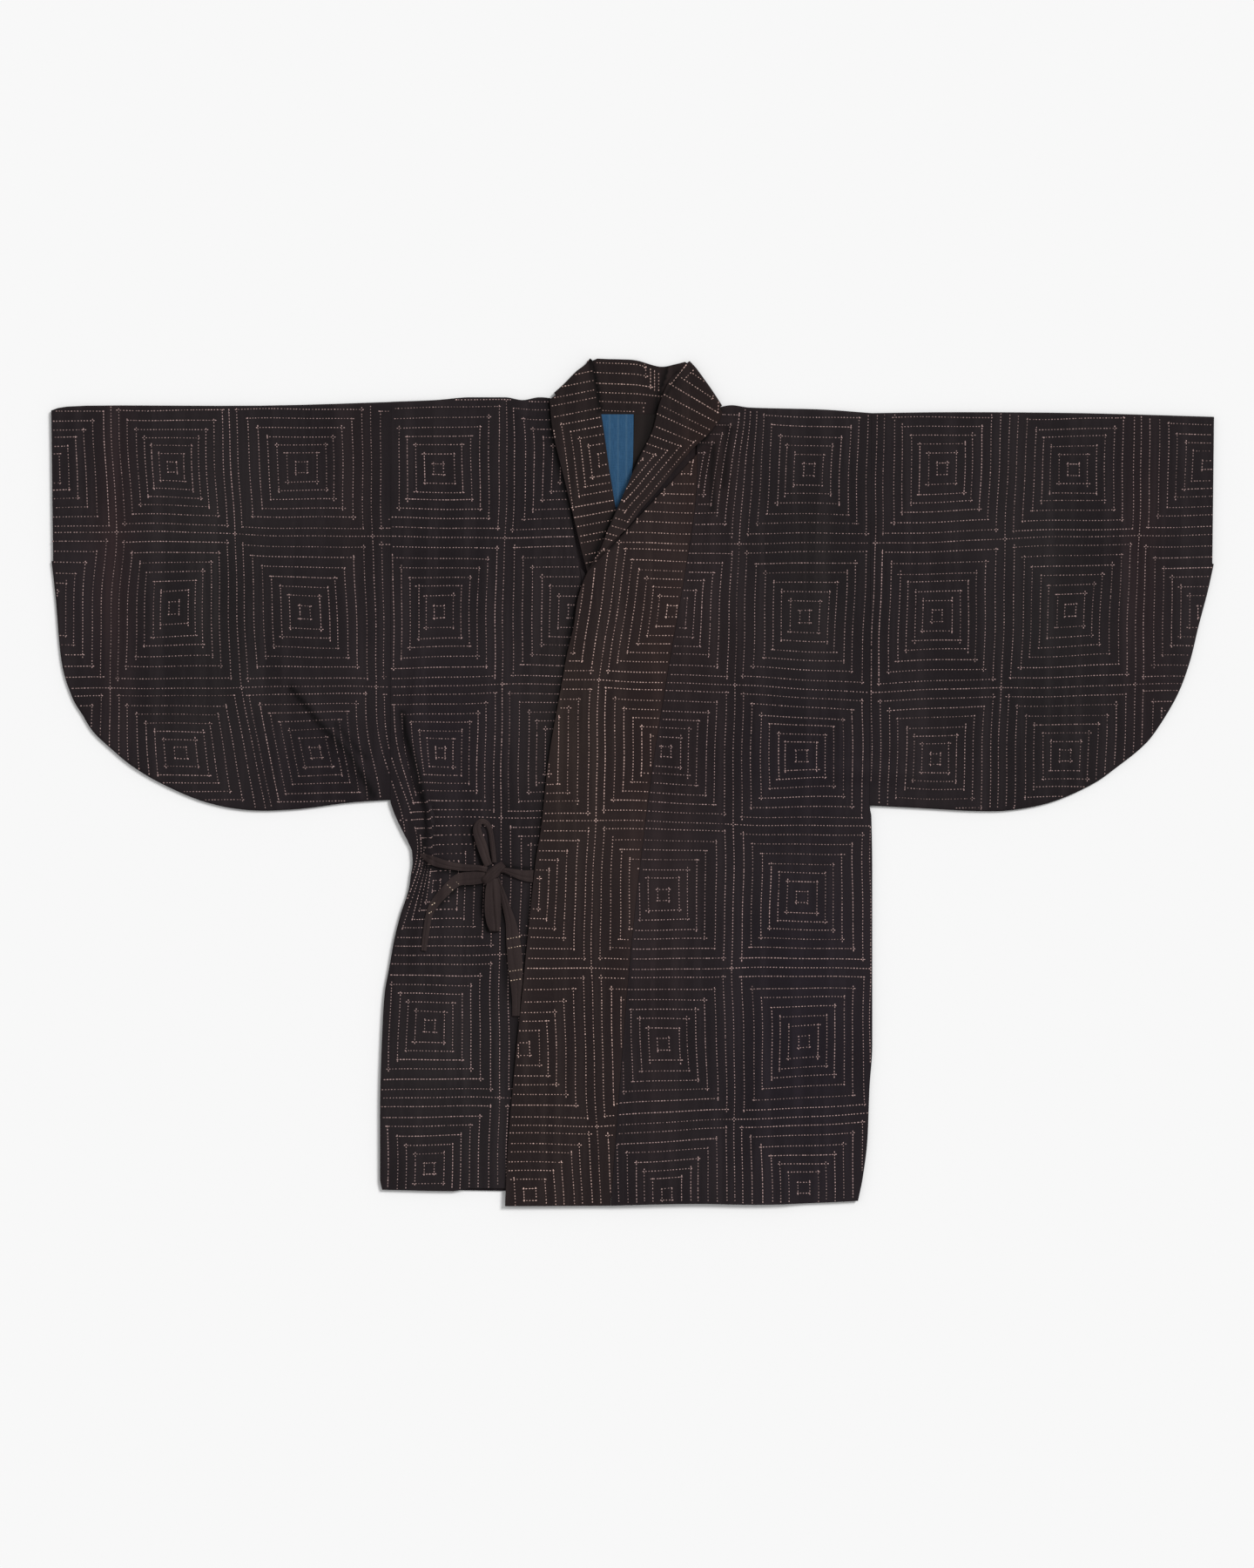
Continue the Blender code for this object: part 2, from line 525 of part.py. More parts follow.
def sleeve(name, top, bag, cuff, side, material, collection):
    """A flat tube: rings from the armhole to the cuff, folded at the top, sewn round the bag."""
    top = resample(top, SLEEVE_TOP_SAMPLES)
    bag = resample(bag, SLEEVE_BAG_SAMPLES)
    rows = SLEEVE_BACK_ROWS + SLEEVE_FRONT_ROWS + 2 * FOLD_STEPS
    inset = (FRONT_Z / 2 + WALL / 2) / MM

    def inside(u, v):
        """A patch between the top fold (v 1), the bag (v 0), the armhole (u 0) and the cuff (u 1)."""
        top_x, top_y = polyline_point(top, u)
        bag_x, bag_y = polyline_point(bag, u)
        out = bag_normal(u)
        bag_x -= out.x * inset
        bag_y -= out.y * inset
        top_y -= inset
        low_y, high_y = bag[0]["y"] + inset, top[0]["y"] - inset
        arm_y = low_y + (high_y - low_y) * v
        arm_x = read(side, "y", arm_y, "x") + math.copysign(SEAM_GAP / MM, cuff["x"])
        cuff_low, cuff_high = cuff["bottom"], cuff["top"] - inset
        cuff_y = cuff_low + (cuff_high - cuff_low) * v
        x = (1 - v) * bag_x + v * top_x + (1 - u) * arm_x + u * cuff["x"]
        y = (1 - v) * bag_y + v * top_y + (1 - u) * arm_y + u * cuff_y
        corners = [
            {"weight": (1 - u) * (1 - v), "x": bag[0]["x"], "y": low_y},
            {"weight": u * (1 - v), "x": bag[-1]["x"], "y": cuff_low},
            {"weight": (1 - u) * v, "x": top[0]["x"], "y": high_y},
            {"weight": u * v, "x": top[-1]["x"], "y": cuff_high},
        ]
        for corner in corners:
            x -= corner["weight"] * corner["x"]
            y -= corner["weight"] * corner["y"]
        return x, y

    def bag_normal(u):
        """Outward across the sewn edge."""
        ax, ay = polyline_point(bag, max(0.0, u - BAG_NORMAL_STEP))
        bx, by = polyline_point(bag, min(1.0, u + BAG_NORMAL_STEP))
        outward = math.copysign(1.0, cuff["x"])
        return Vector((outward * (by - ay), -outward * (bx - ax))).normalized()

    def place(column, row):
        u = column / SLEEVE_COLUMNS
        row = row % rows
        if row < SLEEVE_BACK_ROWS:
            x, y = inside(u, row / SLEEVE_BACK_ROWS)
            return Vector((x * MM, y * MM, WALL / 2))
        row -= SLEEVE_BACK_ROWS
        if row < FOLD_STEPS:
            x, y = inside(u, 1.0)
            angle = math.pi * row / FOLD_STEPS
            high_z = lower_front_z(x, y) + WALL / 2
            return turn(x * MM, (y + inset) * MM, 0.0, 1.0, WALL / 2, high_z, angle, WALL)
        row -= FOLD_STEPS
        if row < SLEEVE_FRONT_ROWS:
            x, y = inside(u, 1.0 - row / SLEEVE_FRONT_ROWS)
            return Vector((x * MM, y * MM, lower_front_z(x, y) + WALL / 2))
        row -= SLEEVE_FRONT_ROWS
        x, y = inside(u, 0.0)
        out = bag_normal(u)
        angle = math.pi * (1.0 - row / FOLD_STEPS)
        return turn((x + out.x * inset) * MM, (y + out.y * inset) * MM, out.x, out.y,
                    WALL / 2, lower_front_z(x, y) + WALL / 2, angle, WALL)

    return sheet(name, SLEEVE_COLUMNS, rows, place, WALL, material, collection, closed=True)


def collar(material, collection):
    """One doubled band: up one front, folded over, round the back of the neck, and down the other."""
    rows = []
    for section in resample(COLLAR_RIGHT_BRANCH, COLLAR_BRANCH_RIGHT_ROWS):
        rows.append({"section": section, "z": lambda x, y: COLLAR_Z, "angle": None})
    rows += fold_rows(COLLAR_FOLD_RIGHT, 1.0, 0.0)
    for section in resample(COLLAR_BACK, COLLAR_BACK_ROWS):
        rows.append({"section": section, "z": lambda x, y: 0.0, "angle": None})
    rows += fold_rows(COLLAR_FOLD_LEFT, 0.0, 1.0)
    for section in resample(COLLAR_LEFT_BRANCH, COLLAR_BRANCH_LEFT_ROWS):
        rows.append({"section": section, "z": left_branch_z, "angle": None})

    def place(column, row):
        section = rows[row]["section"]
        u = column / COLLAR_COLUMNS
        x = section["seam_x"] + (section["free_x"] - section["seam_x"]) * u
        y = section["seam_y"] + (section["free_y"] - section["seam_y"]) * u
        if rows[row]["angle"] is None:
            return Vector((x * MM, y * MM, rows[row]["z"](x, y) + COLLAR_WALL / 2))
        along = Vector((section["free_x"] - section["seam_x"], section["free_y"] - section["seam_y"]))
        along.normalize()
        out_x, out_y = -along.y, along.x
        if out_x * x < 0:
            out_x, out_y = -out_x, -out_y
        return turn(x * MM, y * MM, out_x, out_y, COLLAR_WALL / 2, COLLAR_Z + COLLAR_WALL / 2,
                    rows[row]["angle"], COLLAR_WALL)

    return sheet("collar", COLLAR_COLUMNS, len(rows) - 1, place, COLLAR_WALL, material, collection)


def fold_rows(section, start, end):
    """Rows of a hairpin fold on one line, between two parts of a half turn."""
    rows = []
    for step in range(FOLD_STEPS + 1):
        angle = math.pi * (start + (end - start) * step / FOLD_STEPS)
        rows.append({"section": section, "z": None, "angle": angle})
    return rows


def lining(name, edges, material, collection):
    """A flat piece on the back's inner face, between two edges."""
    rows = resample(edges, LINING_ROWS)

    def place(column, row):
        edge = rows[row]
        x = edge["left"] + (edge["right"] - edge["left"]) * column / LINING_COLUMNS
        return Vector((x * MM, edge["y"] * MM, FRONT_Z + LINING_WALL / 2))

    return sheet(name, LINING_COLUMNS, LINING_ROWS, place, LINING_WALL, material, collection)


def tie_rest_z(x, y, lift):
    """Middle of a tie strip that lies on the right front."""
    return lower_front_z(x, y) + WALL + TIE_CLEARANCE + TIE_WALL / 2 + lift * MM


def tie_strip(name, path, material, collection):
    """A flat strip that follows its path over the right front."""
    rows = resample(path, 2 * (len(path) - 1))

    def place(column, row):
        before, after = rows[max(row - 1, 0)], rows[min(row + 1, len(rows) - 1)]
        length = math.hypot(after["x"] - before["x"], after["y"] - before["y"])
        across_x = -(after["y"] - before["y"]) / length
        across_y = (after["x"] - before["x"]) / length
        offset = rows[row]["half"] * (2 * column / TIE_COLUMNS - 1)
        x, y = rows[row]["x"] + across_x * offset, rows[row]["y"] + across_y * offset
        return Vector((x * MM, y * MM, tie_rest_z(x, y, rows[row]["lift"])))

    return sheet(name, TIE_COLUMNS, len(rows) - 1, place, TIE_WALL, material, collection)


def tie_loop_down(material, collection):
    """The hanging loop of the bow: a strip down and back up, folded at its lower end."""
    loop = TIE_LOOP_DOWN
    rows = 2 * TIE_LOOP_ROWS + FOLD_STEPS
    layer = TIE_WALL + LAYER_GAP

    def place(column, row):
        across = 2 * column / TIE_COLUMNS - 1
        is_lower = row <= TIE_LOOP_ROWS
        part = row / TIE_LOOP_ROWS if is_lower else max(0.0, (rows - row) / TIE_LOOP_ROWS)
        part = min(1.0, part)
        half = loop["half_top"] + (loop["half_bottom"] - loop["half_top"]) * part
        x = loop["x"] + across * half
        y = loop["top"] + (loop["bottom"] - loop["top"]) * part
        low_z = tie_rest_z(x, y, loop["lift"] * (1.0 - smooth(0.5, 0.95, part)))
        if is_lower:
            return Vector((x * MM, y * MM, low_z))
        if row >= TIE_LOOP_ROWS + FOLD_STEPS:
            return Vector((x * MM, y * MM, low_z + layer))
        angle = math.pi * (row - TIE_LOOP_ROWS) / FOLD_STEPS
        fold_y = y * MM - layer / 2 - TIE_WALL / 2
        return turn(x * MM, fold_y, 0.0, -1.0, low_z, low_z + layer, angle, TIE_WALL)

    return sheet("tie_loop_down", TIE_COLUMNS, rows, place, TIE_WALL, material, collection)


def tie_knot(material, collection):
    """The knot: a soft round lump, set across the strips that come out of it."""
    knot = TIE_KNOT
    mesh = bpy.data.meshes.new("tie_knot")
    lump = bmesh.new()
    bmesh.ops.create_uvsphere(lump, u_segments=12, v_segments=8, radius=1.0)
    size = Vector((knot["half_length"], knot["half_width"], knot["half_height"])) * MM
    bmesh.ops.scale(lump, vec=size, verts=lump.verts)
    lump.to_mesh(mesh)
    lump.free()
    mesh.materials.append(material)
    mesh.shade_smooth()
    obj = bpy.data.objects.new("tie_knot", mesh)
    x, y = knot["x"], knot["y"]
    obj.location = (x * MM, y * MM, lower_front_z(x, y) + WALL + TIE_CLEARANCE + size.z)
    obj.rotation_euler = (0.0, 0.0, math.radians(knot["turn"]))
    collection.objects.link(obj)
    return obj


def build():
    clear_scene()
    jacket = make_collection("sashiko work jacket")
    cloth = {name: make_material(name, finish) for name, finish in FINISHES.items()}
    dark, brown = cloth["indigo_black_cotton"], cloth["brown_cotton"]
    body_panel("body_right", SIDE_RIGHT, SHOULDER_RIGHT, RIGHT_BACK_ROWS, RIGHT_FRONT_ROWS,
               RIGHT_COLUMNS, lower_front_z, dark, jacket, -1)
    body_panel("body_left", SIDE_LEFT, SHOULDER_LEFT, LEFT_BACK_ROWS, LEFT_FRONT_ROWS,
               LEFT_COLUMNS, left_front_z, dark, jacket, 1)
    okumi("okumi_right", FREE_EDGE_RIGHT, {"edge_y": 212, "seam_y": 232}, [{"to": HEM_MID, "steps": 14}],
          lower_front_z, dark, jacket, -1)
    okumi("okumi_left", FREE_EDGE_LEFT, {"edge_y": 226, "seam_y": 352},
          [{"to": 130, "steps": 6}, {"to": HEM_MID, "steps": 14}], left_front_z, brown, jacket, 1)
    sleeve("sleeve_right", SLEEVE_TOP_RIGHT, SLEEVE_BAG_RIGHT, CUFF_RIGHT, SIDE_RIGHT, dark, jacket)
    sleeve("sleeve_left", SLEEVE_TOP_LEFT, SLEEVE_BAG_LEFT, CUFF_LEFT, SIDE_LEFT, dark, jacket)
    collar(brown, jacket)
    lining("lining_blue", LINING_BLUE, cloth["blue_lining"], jacket)
    lining("lining_brown", LINING_BROWN, cloth["dark_brown_lining"], jacket)
    for name, path in TIES.items():
        tie_strip(name, path, cloth["tie_cotton"], jacket)
    tie_loop_down(cloth["tie_cotton"], jacket)
    tie_knot(cloth["tie_cotton"], jacket)


build()
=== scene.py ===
"""Looks of the sashiko work jacket: fine cloth on the solids' form, running stitch, weave, light and camera.

The garment's sizes are in millimetres in its own frame, +X along the sleeves and +Y to the collar.
"""
import math

import bpy
import numpy as np
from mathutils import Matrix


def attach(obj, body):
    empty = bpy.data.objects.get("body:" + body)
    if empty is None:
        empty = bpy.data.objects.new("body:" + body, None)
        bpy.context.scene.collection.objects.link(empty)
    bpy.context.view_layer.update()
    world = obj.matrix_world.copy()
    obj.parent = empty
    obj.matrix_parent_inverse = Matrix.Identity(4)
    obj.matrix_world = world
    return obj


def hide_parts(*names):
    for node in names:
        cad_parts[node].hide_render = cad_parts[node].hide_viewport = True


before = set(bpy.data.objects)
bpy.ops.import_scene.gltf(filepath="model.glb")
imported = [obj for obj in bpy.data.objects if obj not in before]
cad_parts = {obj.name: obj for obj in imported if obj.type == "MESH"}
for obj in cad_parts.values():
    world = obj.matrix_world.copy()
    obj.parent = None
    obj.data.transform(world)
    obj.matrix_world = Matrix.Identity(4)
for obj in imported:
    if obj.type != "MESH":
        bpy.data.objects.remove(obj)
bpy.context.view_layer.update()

# Metres in a millimetre, the seed of the random draws, and what is added to it for the stitches of the
# fronts, the collar and the ties. A sleeve adds its own number.
MM = 0.001
SEED = 11
FRONT_DRAWS = 10
COLLAR_DRAWS = 50
TIE_DRAWS = 70


def table(columns, *rows):
    """The rows of a table as dicts, with the columns named once."""
    names = columns.split()
    return [dict(zip(names, row)) for row in rows]


def places(x, y, z):
    return np.stack(np.broadcast_arrays(x, y, z), axis=-1)


# Cloth thickness and the gaps between layers, as in the solids.
WALL = 1.6
LAYER_GAP = 0.6
SEAM_GAP = 0.3
SEWN_GAP = 0.12
FRONT_Z = WALL + LAYER_GAP
COLLAR_WALL = 2.4
COLLAR_Z = FRONT_Z + WALL + SEAM_GAP
LINING_WALL = 1.0
LINING_LIFT = 0.4
TIE_WALL = 1.2
TIE_CLEARANCE = 0.5
FOLD_INSET = FRONT_Z / 2 + WALL / 2

# The steps round a fold, the size of a mesh cell on the front, under it and on the back, and the part of a
# wall's thickness that its edges are rounded by.
FOLD_STEPS = 8
CELL = 2.6
HIDDEN_CELL = 9.0
BACK_CELL = 26.0
EDGE_ROUND = 0.42

# Body outlines, and the middle heights of hem and shoulder.
HEM_MID = -437
SHOULDER_MID = 405
NECK_X = 69
OKUMI_HEM_Y = -453
OKUMI_SEAM = table(
    "y x", (363, NECK_X), (284, 65.5), (108, 36), (-5, 18.5), (-190, -2.8), (OKUMI_HEM_Y, -23.5),
)
SHOULDER_RIGHT = table(
    "x y", (-262, 408), (-212, 410), (-174, 413), (-137, 413), (-118, 410), (-100, 413), (-88, 412),
    (-80, 405), (-69, 396), (-40, 393.6), (0, 393),
)
SHOULDER_LEFT = table(
    "x y", (0, 392.5), (60, 392), (69, 392), (86, 398), (96, 403), (106, 404.5), (125, 402), (200, 400),
    (257, 396),
)
SIDE_RIGHT = table(
    "y x", (412, -259), (-19, -260), (-30, -257), (-44, -251), (-58, -244), (-72, -237), (-86, -236),
    (-100, -238), (-114, -240), (-142, -249), (-170, -256), (-198, -261), (-226, -266), (-254, -268),
    (-352, -271), (-425, -271), (-440, -268),
)
SIDE_LEFT = table(
    "y x", (400, 256), (-25, 254), (-36, 256), (-95, 257), (-282, 257), (-329, 254), (-381, 252),
    (-423, 247), (-452, 241),
)
HEM_RIGHT = table(
    "x y", (-271, -437), (-193, -438.5), (-174, -435.5), (137, -436),
)
HEM_LEFT = table(
    "x y", (-137, -454.5), (-62, -455.3), (-26, -454), (69, -452), (134, -453), (200, -451), (241, -449),
)
HEM_BACK = table(
    "x y", (-271, -436.5), (250, -444),
)
FREE_EDGE_LEFT = table(
    "y x", (231, -46), (210, -55), (191, -60), (169, -63), (135, -71), (107, -76), (20, -91), (-54, -99),
    (-83, -104), (-139, -110), (-219, -118), (-308, -127), (-390, -134), (-455, -137),
)
FREE_EDGE_RIGHT = table(
    "y x", (236, -49), (180, -31), (60, 20), (-440, 137),
)

# Sleeve outlines, the width and depth by which a sleeve's mesh is divided, and the steps of its outlines.
SLEEVE_TOP_RIGHT = table(
    "x y", (-259.6, 408), (-399, 404), (-586, 404), (-623, 399),
)
SLEEVE_TOP_LEFT = table(
    "x y", (256.6, 396), (349, 397), (480, 396), (621, 392),
)
SLEEVE_SPAN = 400
SLEEVE_DEPTH = 420
TOP_STEPS = 12
BAG_STEPS = 60
CUFF_RIGHT = {"top": 399, "bottom": 237, "x": -623.6}
CUFF_LEFT = {"top": 392, "bottom": 234, "x": 623.6}
SLEEVE_BAG_RIGHT = table(
    "x y", (-260.6, -19), (-305, -22), (-361, -29), (-413, -30), (-460, -21), (-505, -2), (-537, 17),
    (-560, 36), (-579, 54), (-591, 73), (-602, 92), (-613, 129), (-619, 195), (-623.6, 237),
)
SLEEVE_BAG_LEFT = table(
    "x y", (254.6, -25), (312, -28), (368, -31), (407, -30), (451, -21), (494, -2), (521, 17), (545, 36),
    (561, 54), (584, 92), (598, 129), (607, 166), (617, 204), (623.6, 234),
)

# Collar sections: the sewn edge and the free edge.
COLLAR_RIGHT_BRANCH = table(
    "seam_x seam_y free_x free_y", (-34, 178, 0, 194), (-51, 234, -10, 245), (-64, 287, -19, 298),
    (-74, 328, -26, 342), (-85, 373, -32, 384), (-88, 398, -36, 408), (-89, 410, -40, 428),
)
COLLAR_FOLD_RIGHT = {"seam_x": -84, "seam_y": 417, "free_x": -46, "free_y": 455}
COLLAR_BACK = table(
    "seam_x seam_y free_x free_y", (-72, 407, -38, 454.5), (-56, 398, -27, 454), (-38, 394.6, -14, 453.7),
    (1, 393.8, 4, 452.5), (30, 393.6, 29, 445.8), (60, 395, 46, 448.5), (76, 399.5, 56, 451),
)
COLLAR_FOLD_LEFT = {"seam_x": 96, "seam_y": 404, "free_x": 62, "free_y": 452}
COLLAR_LEFT_BRANCH = table(
    "seam_x seam_y free_x free_y", (96, 396, 53, 444), (92, 387, 40, 431), (80, 372, 29, 406),
    (66, 359, 21, 376), (45, 335, 8, 350), (24, 309, -4, 322), (9, 292, -16, 295), (-5, 273, -26, 272),
    (-23, 256, -34, 251), (-41, 236, -45, 232),
)

# The middle line of the collar's hidden part and half its width, how far past the right front's edge the
# left front begins to sink, and how wide a climb or fall of the left front is.
HIDDEN_COLLAR_AXIS = ((-26, 300), (-17, 190))
HIDDEN_COLLAR_REACH = 44
UNDERLAP_MARGIN = 20
CLIMB = 34

# Folds of the solids, and the finer ones that only show here: the line of each crest, its height, and how
# far it falls off on both sides.
FOLDS = {name: table("x y height left right", *rows) for name, rows in {
    "side tuck": (
        (-221, 241, 0.0, 30, 34), (-227, 166, 1.0, 24, 34), (-231, 110, 2.4, 20, 36),
        (-240, 48, 3.8, 16, 40), (-230, 0, 4.4, 15, 44), (-219, -22, 4.4, 14, 44),
        (-215, -50, 4.2, 14, 36), (-215, -78, 3.6, 14, 30), (-221, -112, 3.0, 15, 28),
        (-227, -154, 2.0, 20, 30), (-238, -212, 0.0, 24, 30),
    ),
    "sleeve crease": (
        (-396, 160, 0.0, 22, 22), (-371, 120, 2.2, 24, 20), (-330, 60, 2.6, 26, 20),
        (-291, 7, 1.4, 24, 20), (-270, -14, 0.0, 20, 16),
    ),
    "underarm gather": (
        (158, 2, 0.0, 16, 16), (200, 11, 2.0, 18, 14), (238, 13, 3.0, 18, 14), (290, 9, 2.4, 18, 16),
        (352, 2, 0.0, 20, 16),
    ),
    "neck fold": (
        (100, 362, 0.0, 14, 20), (108, 330, 1.6, 16, 22), (116, 270, 1.2, 20, 24),
        (122, 200, 0.0, 20, 24),
    ),
    "left shoulder pucker": ((92, 386, 1.6, 5, 6), (106, 381, 1.4, 6, 8), (124, 383, 0.0, 8, 8)),
    "left neck pucker": ((82, 366, 1.2, 5, 6), (90, 352, 1.0, 6, 8), (96, 330, 0.0, 8, 8)),
    "right shoulder pucker": ((-94, 400, 1.2, 7, 6), (-112, 394, 1.2, 8, 7), (-140, 398, 0.0, 8, 8)),
    "tie gather above": ((-214, -78, 1.6, 5, 7), (-203, -52, 1.1, 6, 9), (-193, -22, 0.0, 8, 10)),
    "tie gather below": (
        (-216, -92, 1.8, 5, 6), (-222, -128, 1.3, 6, 8), (-231, -170, 0.8, 8, 10),
        (-240, -230, 0.0, 10, 12),
    ),
    "tie gather low": ((-206, -94, 1.2, 5, 6), (-203, -125, 0.8, 7, 8), (-200, -165, 0.0, 9, 10)),
    "tuck groove": (
        (-234, 62, 0.0, 3, 4), (-228.5, 20, -1.0, 3, 5), (-220.4, -17, -1.7, 3, 5),
        (-213, -32, -2.0, 3, 5), (-213, -74, -1.6, 3, 5), (-212, -92, 0.0, 3, 4),
    ),
    "sleeve crease line": (
        (-366, 106, 0.0, 3.5, 12), (-343, 73, 1.0, 3.5, 14), (-319, 38, 1.5, 4, 14),
        (-298, 12, 1.9, 4, 12), (-284, -6, 0.0, 4, 10),
    ),
    "sleeve crease end": ((-303, 24, 0.0, 4, 7), (-290, 10, 1.2, 4, 7), (-280, -8, 0.0, 4, 7)),
    "sleeve drape": (
        (-500, 235, 0.0, 26, 26), (-455, 165, 0.9, 30, 26), (-415, 90, 0.8, 30, 26),
        (-380, 25, 0.0, 26, 22),
    ),
}.items()}

# Ties: each stretch that shows, along its middle, with its half width and its lift off the cloth below.
TIES = {name: table("x y half lift", *rows) for name, rows in {
    "tie_anchor_side": (
        (-227.4, -77.8, 1.6, 0.2), (-220, -81, 3.6, 0.3), (-212.6, -84.6, 4.8, 0.4),
        (-203, -87.6, 4.4, 0.6), (-190, -90.2, 3.8, 1.0), (-179.3, -91.6, 3.6, 1.6),
        (-166.4, -91.8, 2.8, 2.2), (-156, -93.5, 2.6, 2.6),
    ),
    "tie_anchor_front": (
        (-142, -93.6, 2.0, 2.0), (-136, -94.6, 2.6, 1.6), (-127.8, -97.1, 4.0, 1.0),
        (-117, -99.9, 5.4, 0.4), (-106.8, -100.8, 6.6, 0.0),
    ),
    "tie_loop_up": (
        (-154, -89, 3.6, 2.6), (-156.8, -83.1, 4.3, 2.6), (-161.5, -68.1, 5.2, 2.6),
        (-166.4, -53.1, 4.4, 2.2), (-166, -45.6, 3.2, 1.8), (-161.4, -41.8, 2.6, 1.4),
        (-155.6, -45, 2.4, 1.0), (-152.3, -53.1, 2.2, 0.8), (-150.3, -68.1, 2.3, 0.8),
        (-148.2, -86, 2.0, 1.6),
    ),
    "tie_tail_right": (
        (-146, -103, 2.6, 0.6), (-143, -111, 3.0, 0.4), (-138.5, -124, 3.6, 0.2),
        (-133.8, -138.9, 4.4, 0.2), (-130.4, -151.8, 5.6, 0.0), (-128.2, -169, 7.3, 0.0),
        (-126.7, -184, 7.8, 0.0), (-125.7, -199, 7.7, 0.0), (-124.8, -214, 6.4, 0.0),
        (-124.8, -231.2, 4.5, 0.0), (-125.2, -250.5, 3.8, 0.0),
    ),
    "tie_tail_left": (
        (-156, -100.5, 4.6, 1.2), (-163, -102, 6.4, 1.0), (-172.9, -102.9, 7.0, 0.6),
        (-185.7, -104.2, 6.4, 0.4), (-194.3, -110, 5.6, 0.2), (-201.8, -117.5, 5.2, 0.2),
        (-209.3, -126, 4.8, 0.0), (-215.8, -135.7, 4.0, 0.0), (-219, -145.4, 3.4, 0.0),
        (-221.1, -158.3, 3.2, 0.0), (-222.6, -169, 3.0, 0.0), (-223.9, -180.5, 2.6, 0.0),
    ),
}.items()}

# The loop that hangs down: its two layers, and the turn at its end.
LOOP_DOWN = {"top": -103, "bottom": -158.5, "lift": 2.3}
LOOP_DOWN_ROWS = table(
    "part x half", (0.0, -149.4, 4.6), (0.22, -149.9, 7.6), (0.6, -149.8, 8.6), (0.86, -149.0, 7.4),
    (1.0, -148.2, 5.0),
)

# The knot, the turn of the strip over it, and the rows of pale stitches on the tails.
KNOT = {"x": -149.6, "y": -97.6, "half_length": 12.5, "half_width": 6.4, "half_height": 3.0, "turn": 41}
WRAP = {"half_length": 14.6, "half_width": 5.0, "rise": 6.4}
TIE_BANDS = table(
    "x y angle length", (-127.8, -166.8, 10, 15.5), (-126.7, -176.7, 10, 15.5), (-125.6, -201.8, 9, 15),
    (-125.4, -211.8, 9, 13), (-196, -112.6, -45, 11), (-189, -106.8, -42, 9), (-213.6, -130.4, 35, 5.5),
    (-217, -139.6, 35, 5.5),
)

# The lining where it shows in the neck.
LINING_BLUE = table(
    "y left right", (394.6, -42, 1.0), (330, -34, -0.6), (284, -26, -9),
)
LINING_BROWN = table(
    "y left right", (394.6, 1.5, 44), (350, 0.4, 26), (322, 0.2, 8),
)

# The stitched squares: where each upright line of the grid runs at four heights, and each level line
# at three places across. Between two lines lie seven squares, one inside the other.
RING_HALVES = (0.040, 0.108, 0.170, 0.232, 0.298, 0.366, 0.438)
RINGS = len(RING_HALVES) + 1
KNOTS_Y = (400, 110, -200, -450)
UPRIGHTS_RIGHT = table(
    "number x", (-1, (-700, -705, -705, -705)), (0, (-560, -561, -558, -558)),
    (1, (-433, -421, -382, -382)), (2, (-282, -275, -290, -291)), (3, (-134, -140.5, -142.6, -144.5)),
    (4, (14, 5, 4, 2)),
)
UPRIGHTS_LEFT = table(
    "number x", (-1, (-150, -195, -195, -188)), (0, (6, -36, -45, -35)), (1, (120, 109, 107, 110)),
    (2, (263, 256, 254.5, 256)), (3, (404, 395.5, 385, 380)), (4, (546.5, 538.5, 530, 525)),
    (5, (690, 682, 675, 670)),
)
KNOTS_X_RIGHT = (-560, -260, -100)
LEVELS_RIGHT = table(
    "number y", (0, (407, 409, 410)), (1, (268.3, 262.7, 262.7)), (2, (100, 103, 104.7)),
    (3, (-40, -38, -37.4)), (4, (-185, -185, -185)), (5, (-338.5, -338.5, -338.5)),
    (6, (-488, -488, -488)),
)
KNOTS_X_LEFT = (-35, 256, 540)
LEVELS_LEFT = table(
    "number y", (0, (418, 411, 412)), (1, (256, 256, 265)), (2, (110, 97, 104.7)), (3, (-41, -48.6, -45)),
    (4, (-200, -199, -200)), (5, (-368, -355, -355)), (6, (-520, -512, -512)),
)

# The search for a place in the pattern: the width of a square that it starts from, and its rounds.
FIRST_GUESS_WIDTH = 145.0
GRID_ROUNDS = 4
DRAW_OUT_ROUNDS = 12

# The running stitch, how far a line of it strays and runs past its corner, how much paler it is there, and
# the width of a square.
STITCH_PITCH = 3.3
STITCH_LENGTH = 1.95
STITCH_WIDTH = 1.22
STITCH_HEIGHT = 0.36
LINE_WANDER = 0.5
CORNER_OVER = 3.2
CORNER_TONE = 0.4
CELL_WIDTH = 148.0

# The side tuck: how far the pattern slips down beyond its crest, and the stretch where it does; and how
# much steeper it falls on its outer side.
TUCK_SLIP = 2.6
TUCK_SLIP_SIDE = (-276, -252)
TUCK_SLIP_LOW = (-110, -80)
TUCK_SLIP_HIGH = (20, 90)
TUCK_STEEP = 0.5

# How the cloth is drawn in to the tie, and pushed along elsewhere.
GATHER = {"x": -212, "y": -83, "draw": 0.55, "reach": 80, "far": 62, "gone": -300}
PUSHES = table(
    "x y dx dy wide high", (100, 402, 10, 0, 30, 60), (60, 380, 6, 0, 26, 40),
    (-100, 402, -4, -2, 26, 30), (-330, -35, 17, 0, 105, 78), (-545, 268, 8, 0, 60, 60),
    (-470, 190, 0, 4, 70, 60), (240, 0, 0, 5, 70, 34),
)

# What the camera sees: its middle and height on the surface, in millimetres, and its lens.
CAMERA_X = -6.1
CAMERA_Y = -1.9
FRAME_HEIGHT = 1683.0
LENS = 85.0
SENSOR = 36.0


def smooth(low, high, value):
    t = np.clip((value - low) / (high - low), 0.0, 1.0)
    return t * t * (3.0 - 2.0 * t)


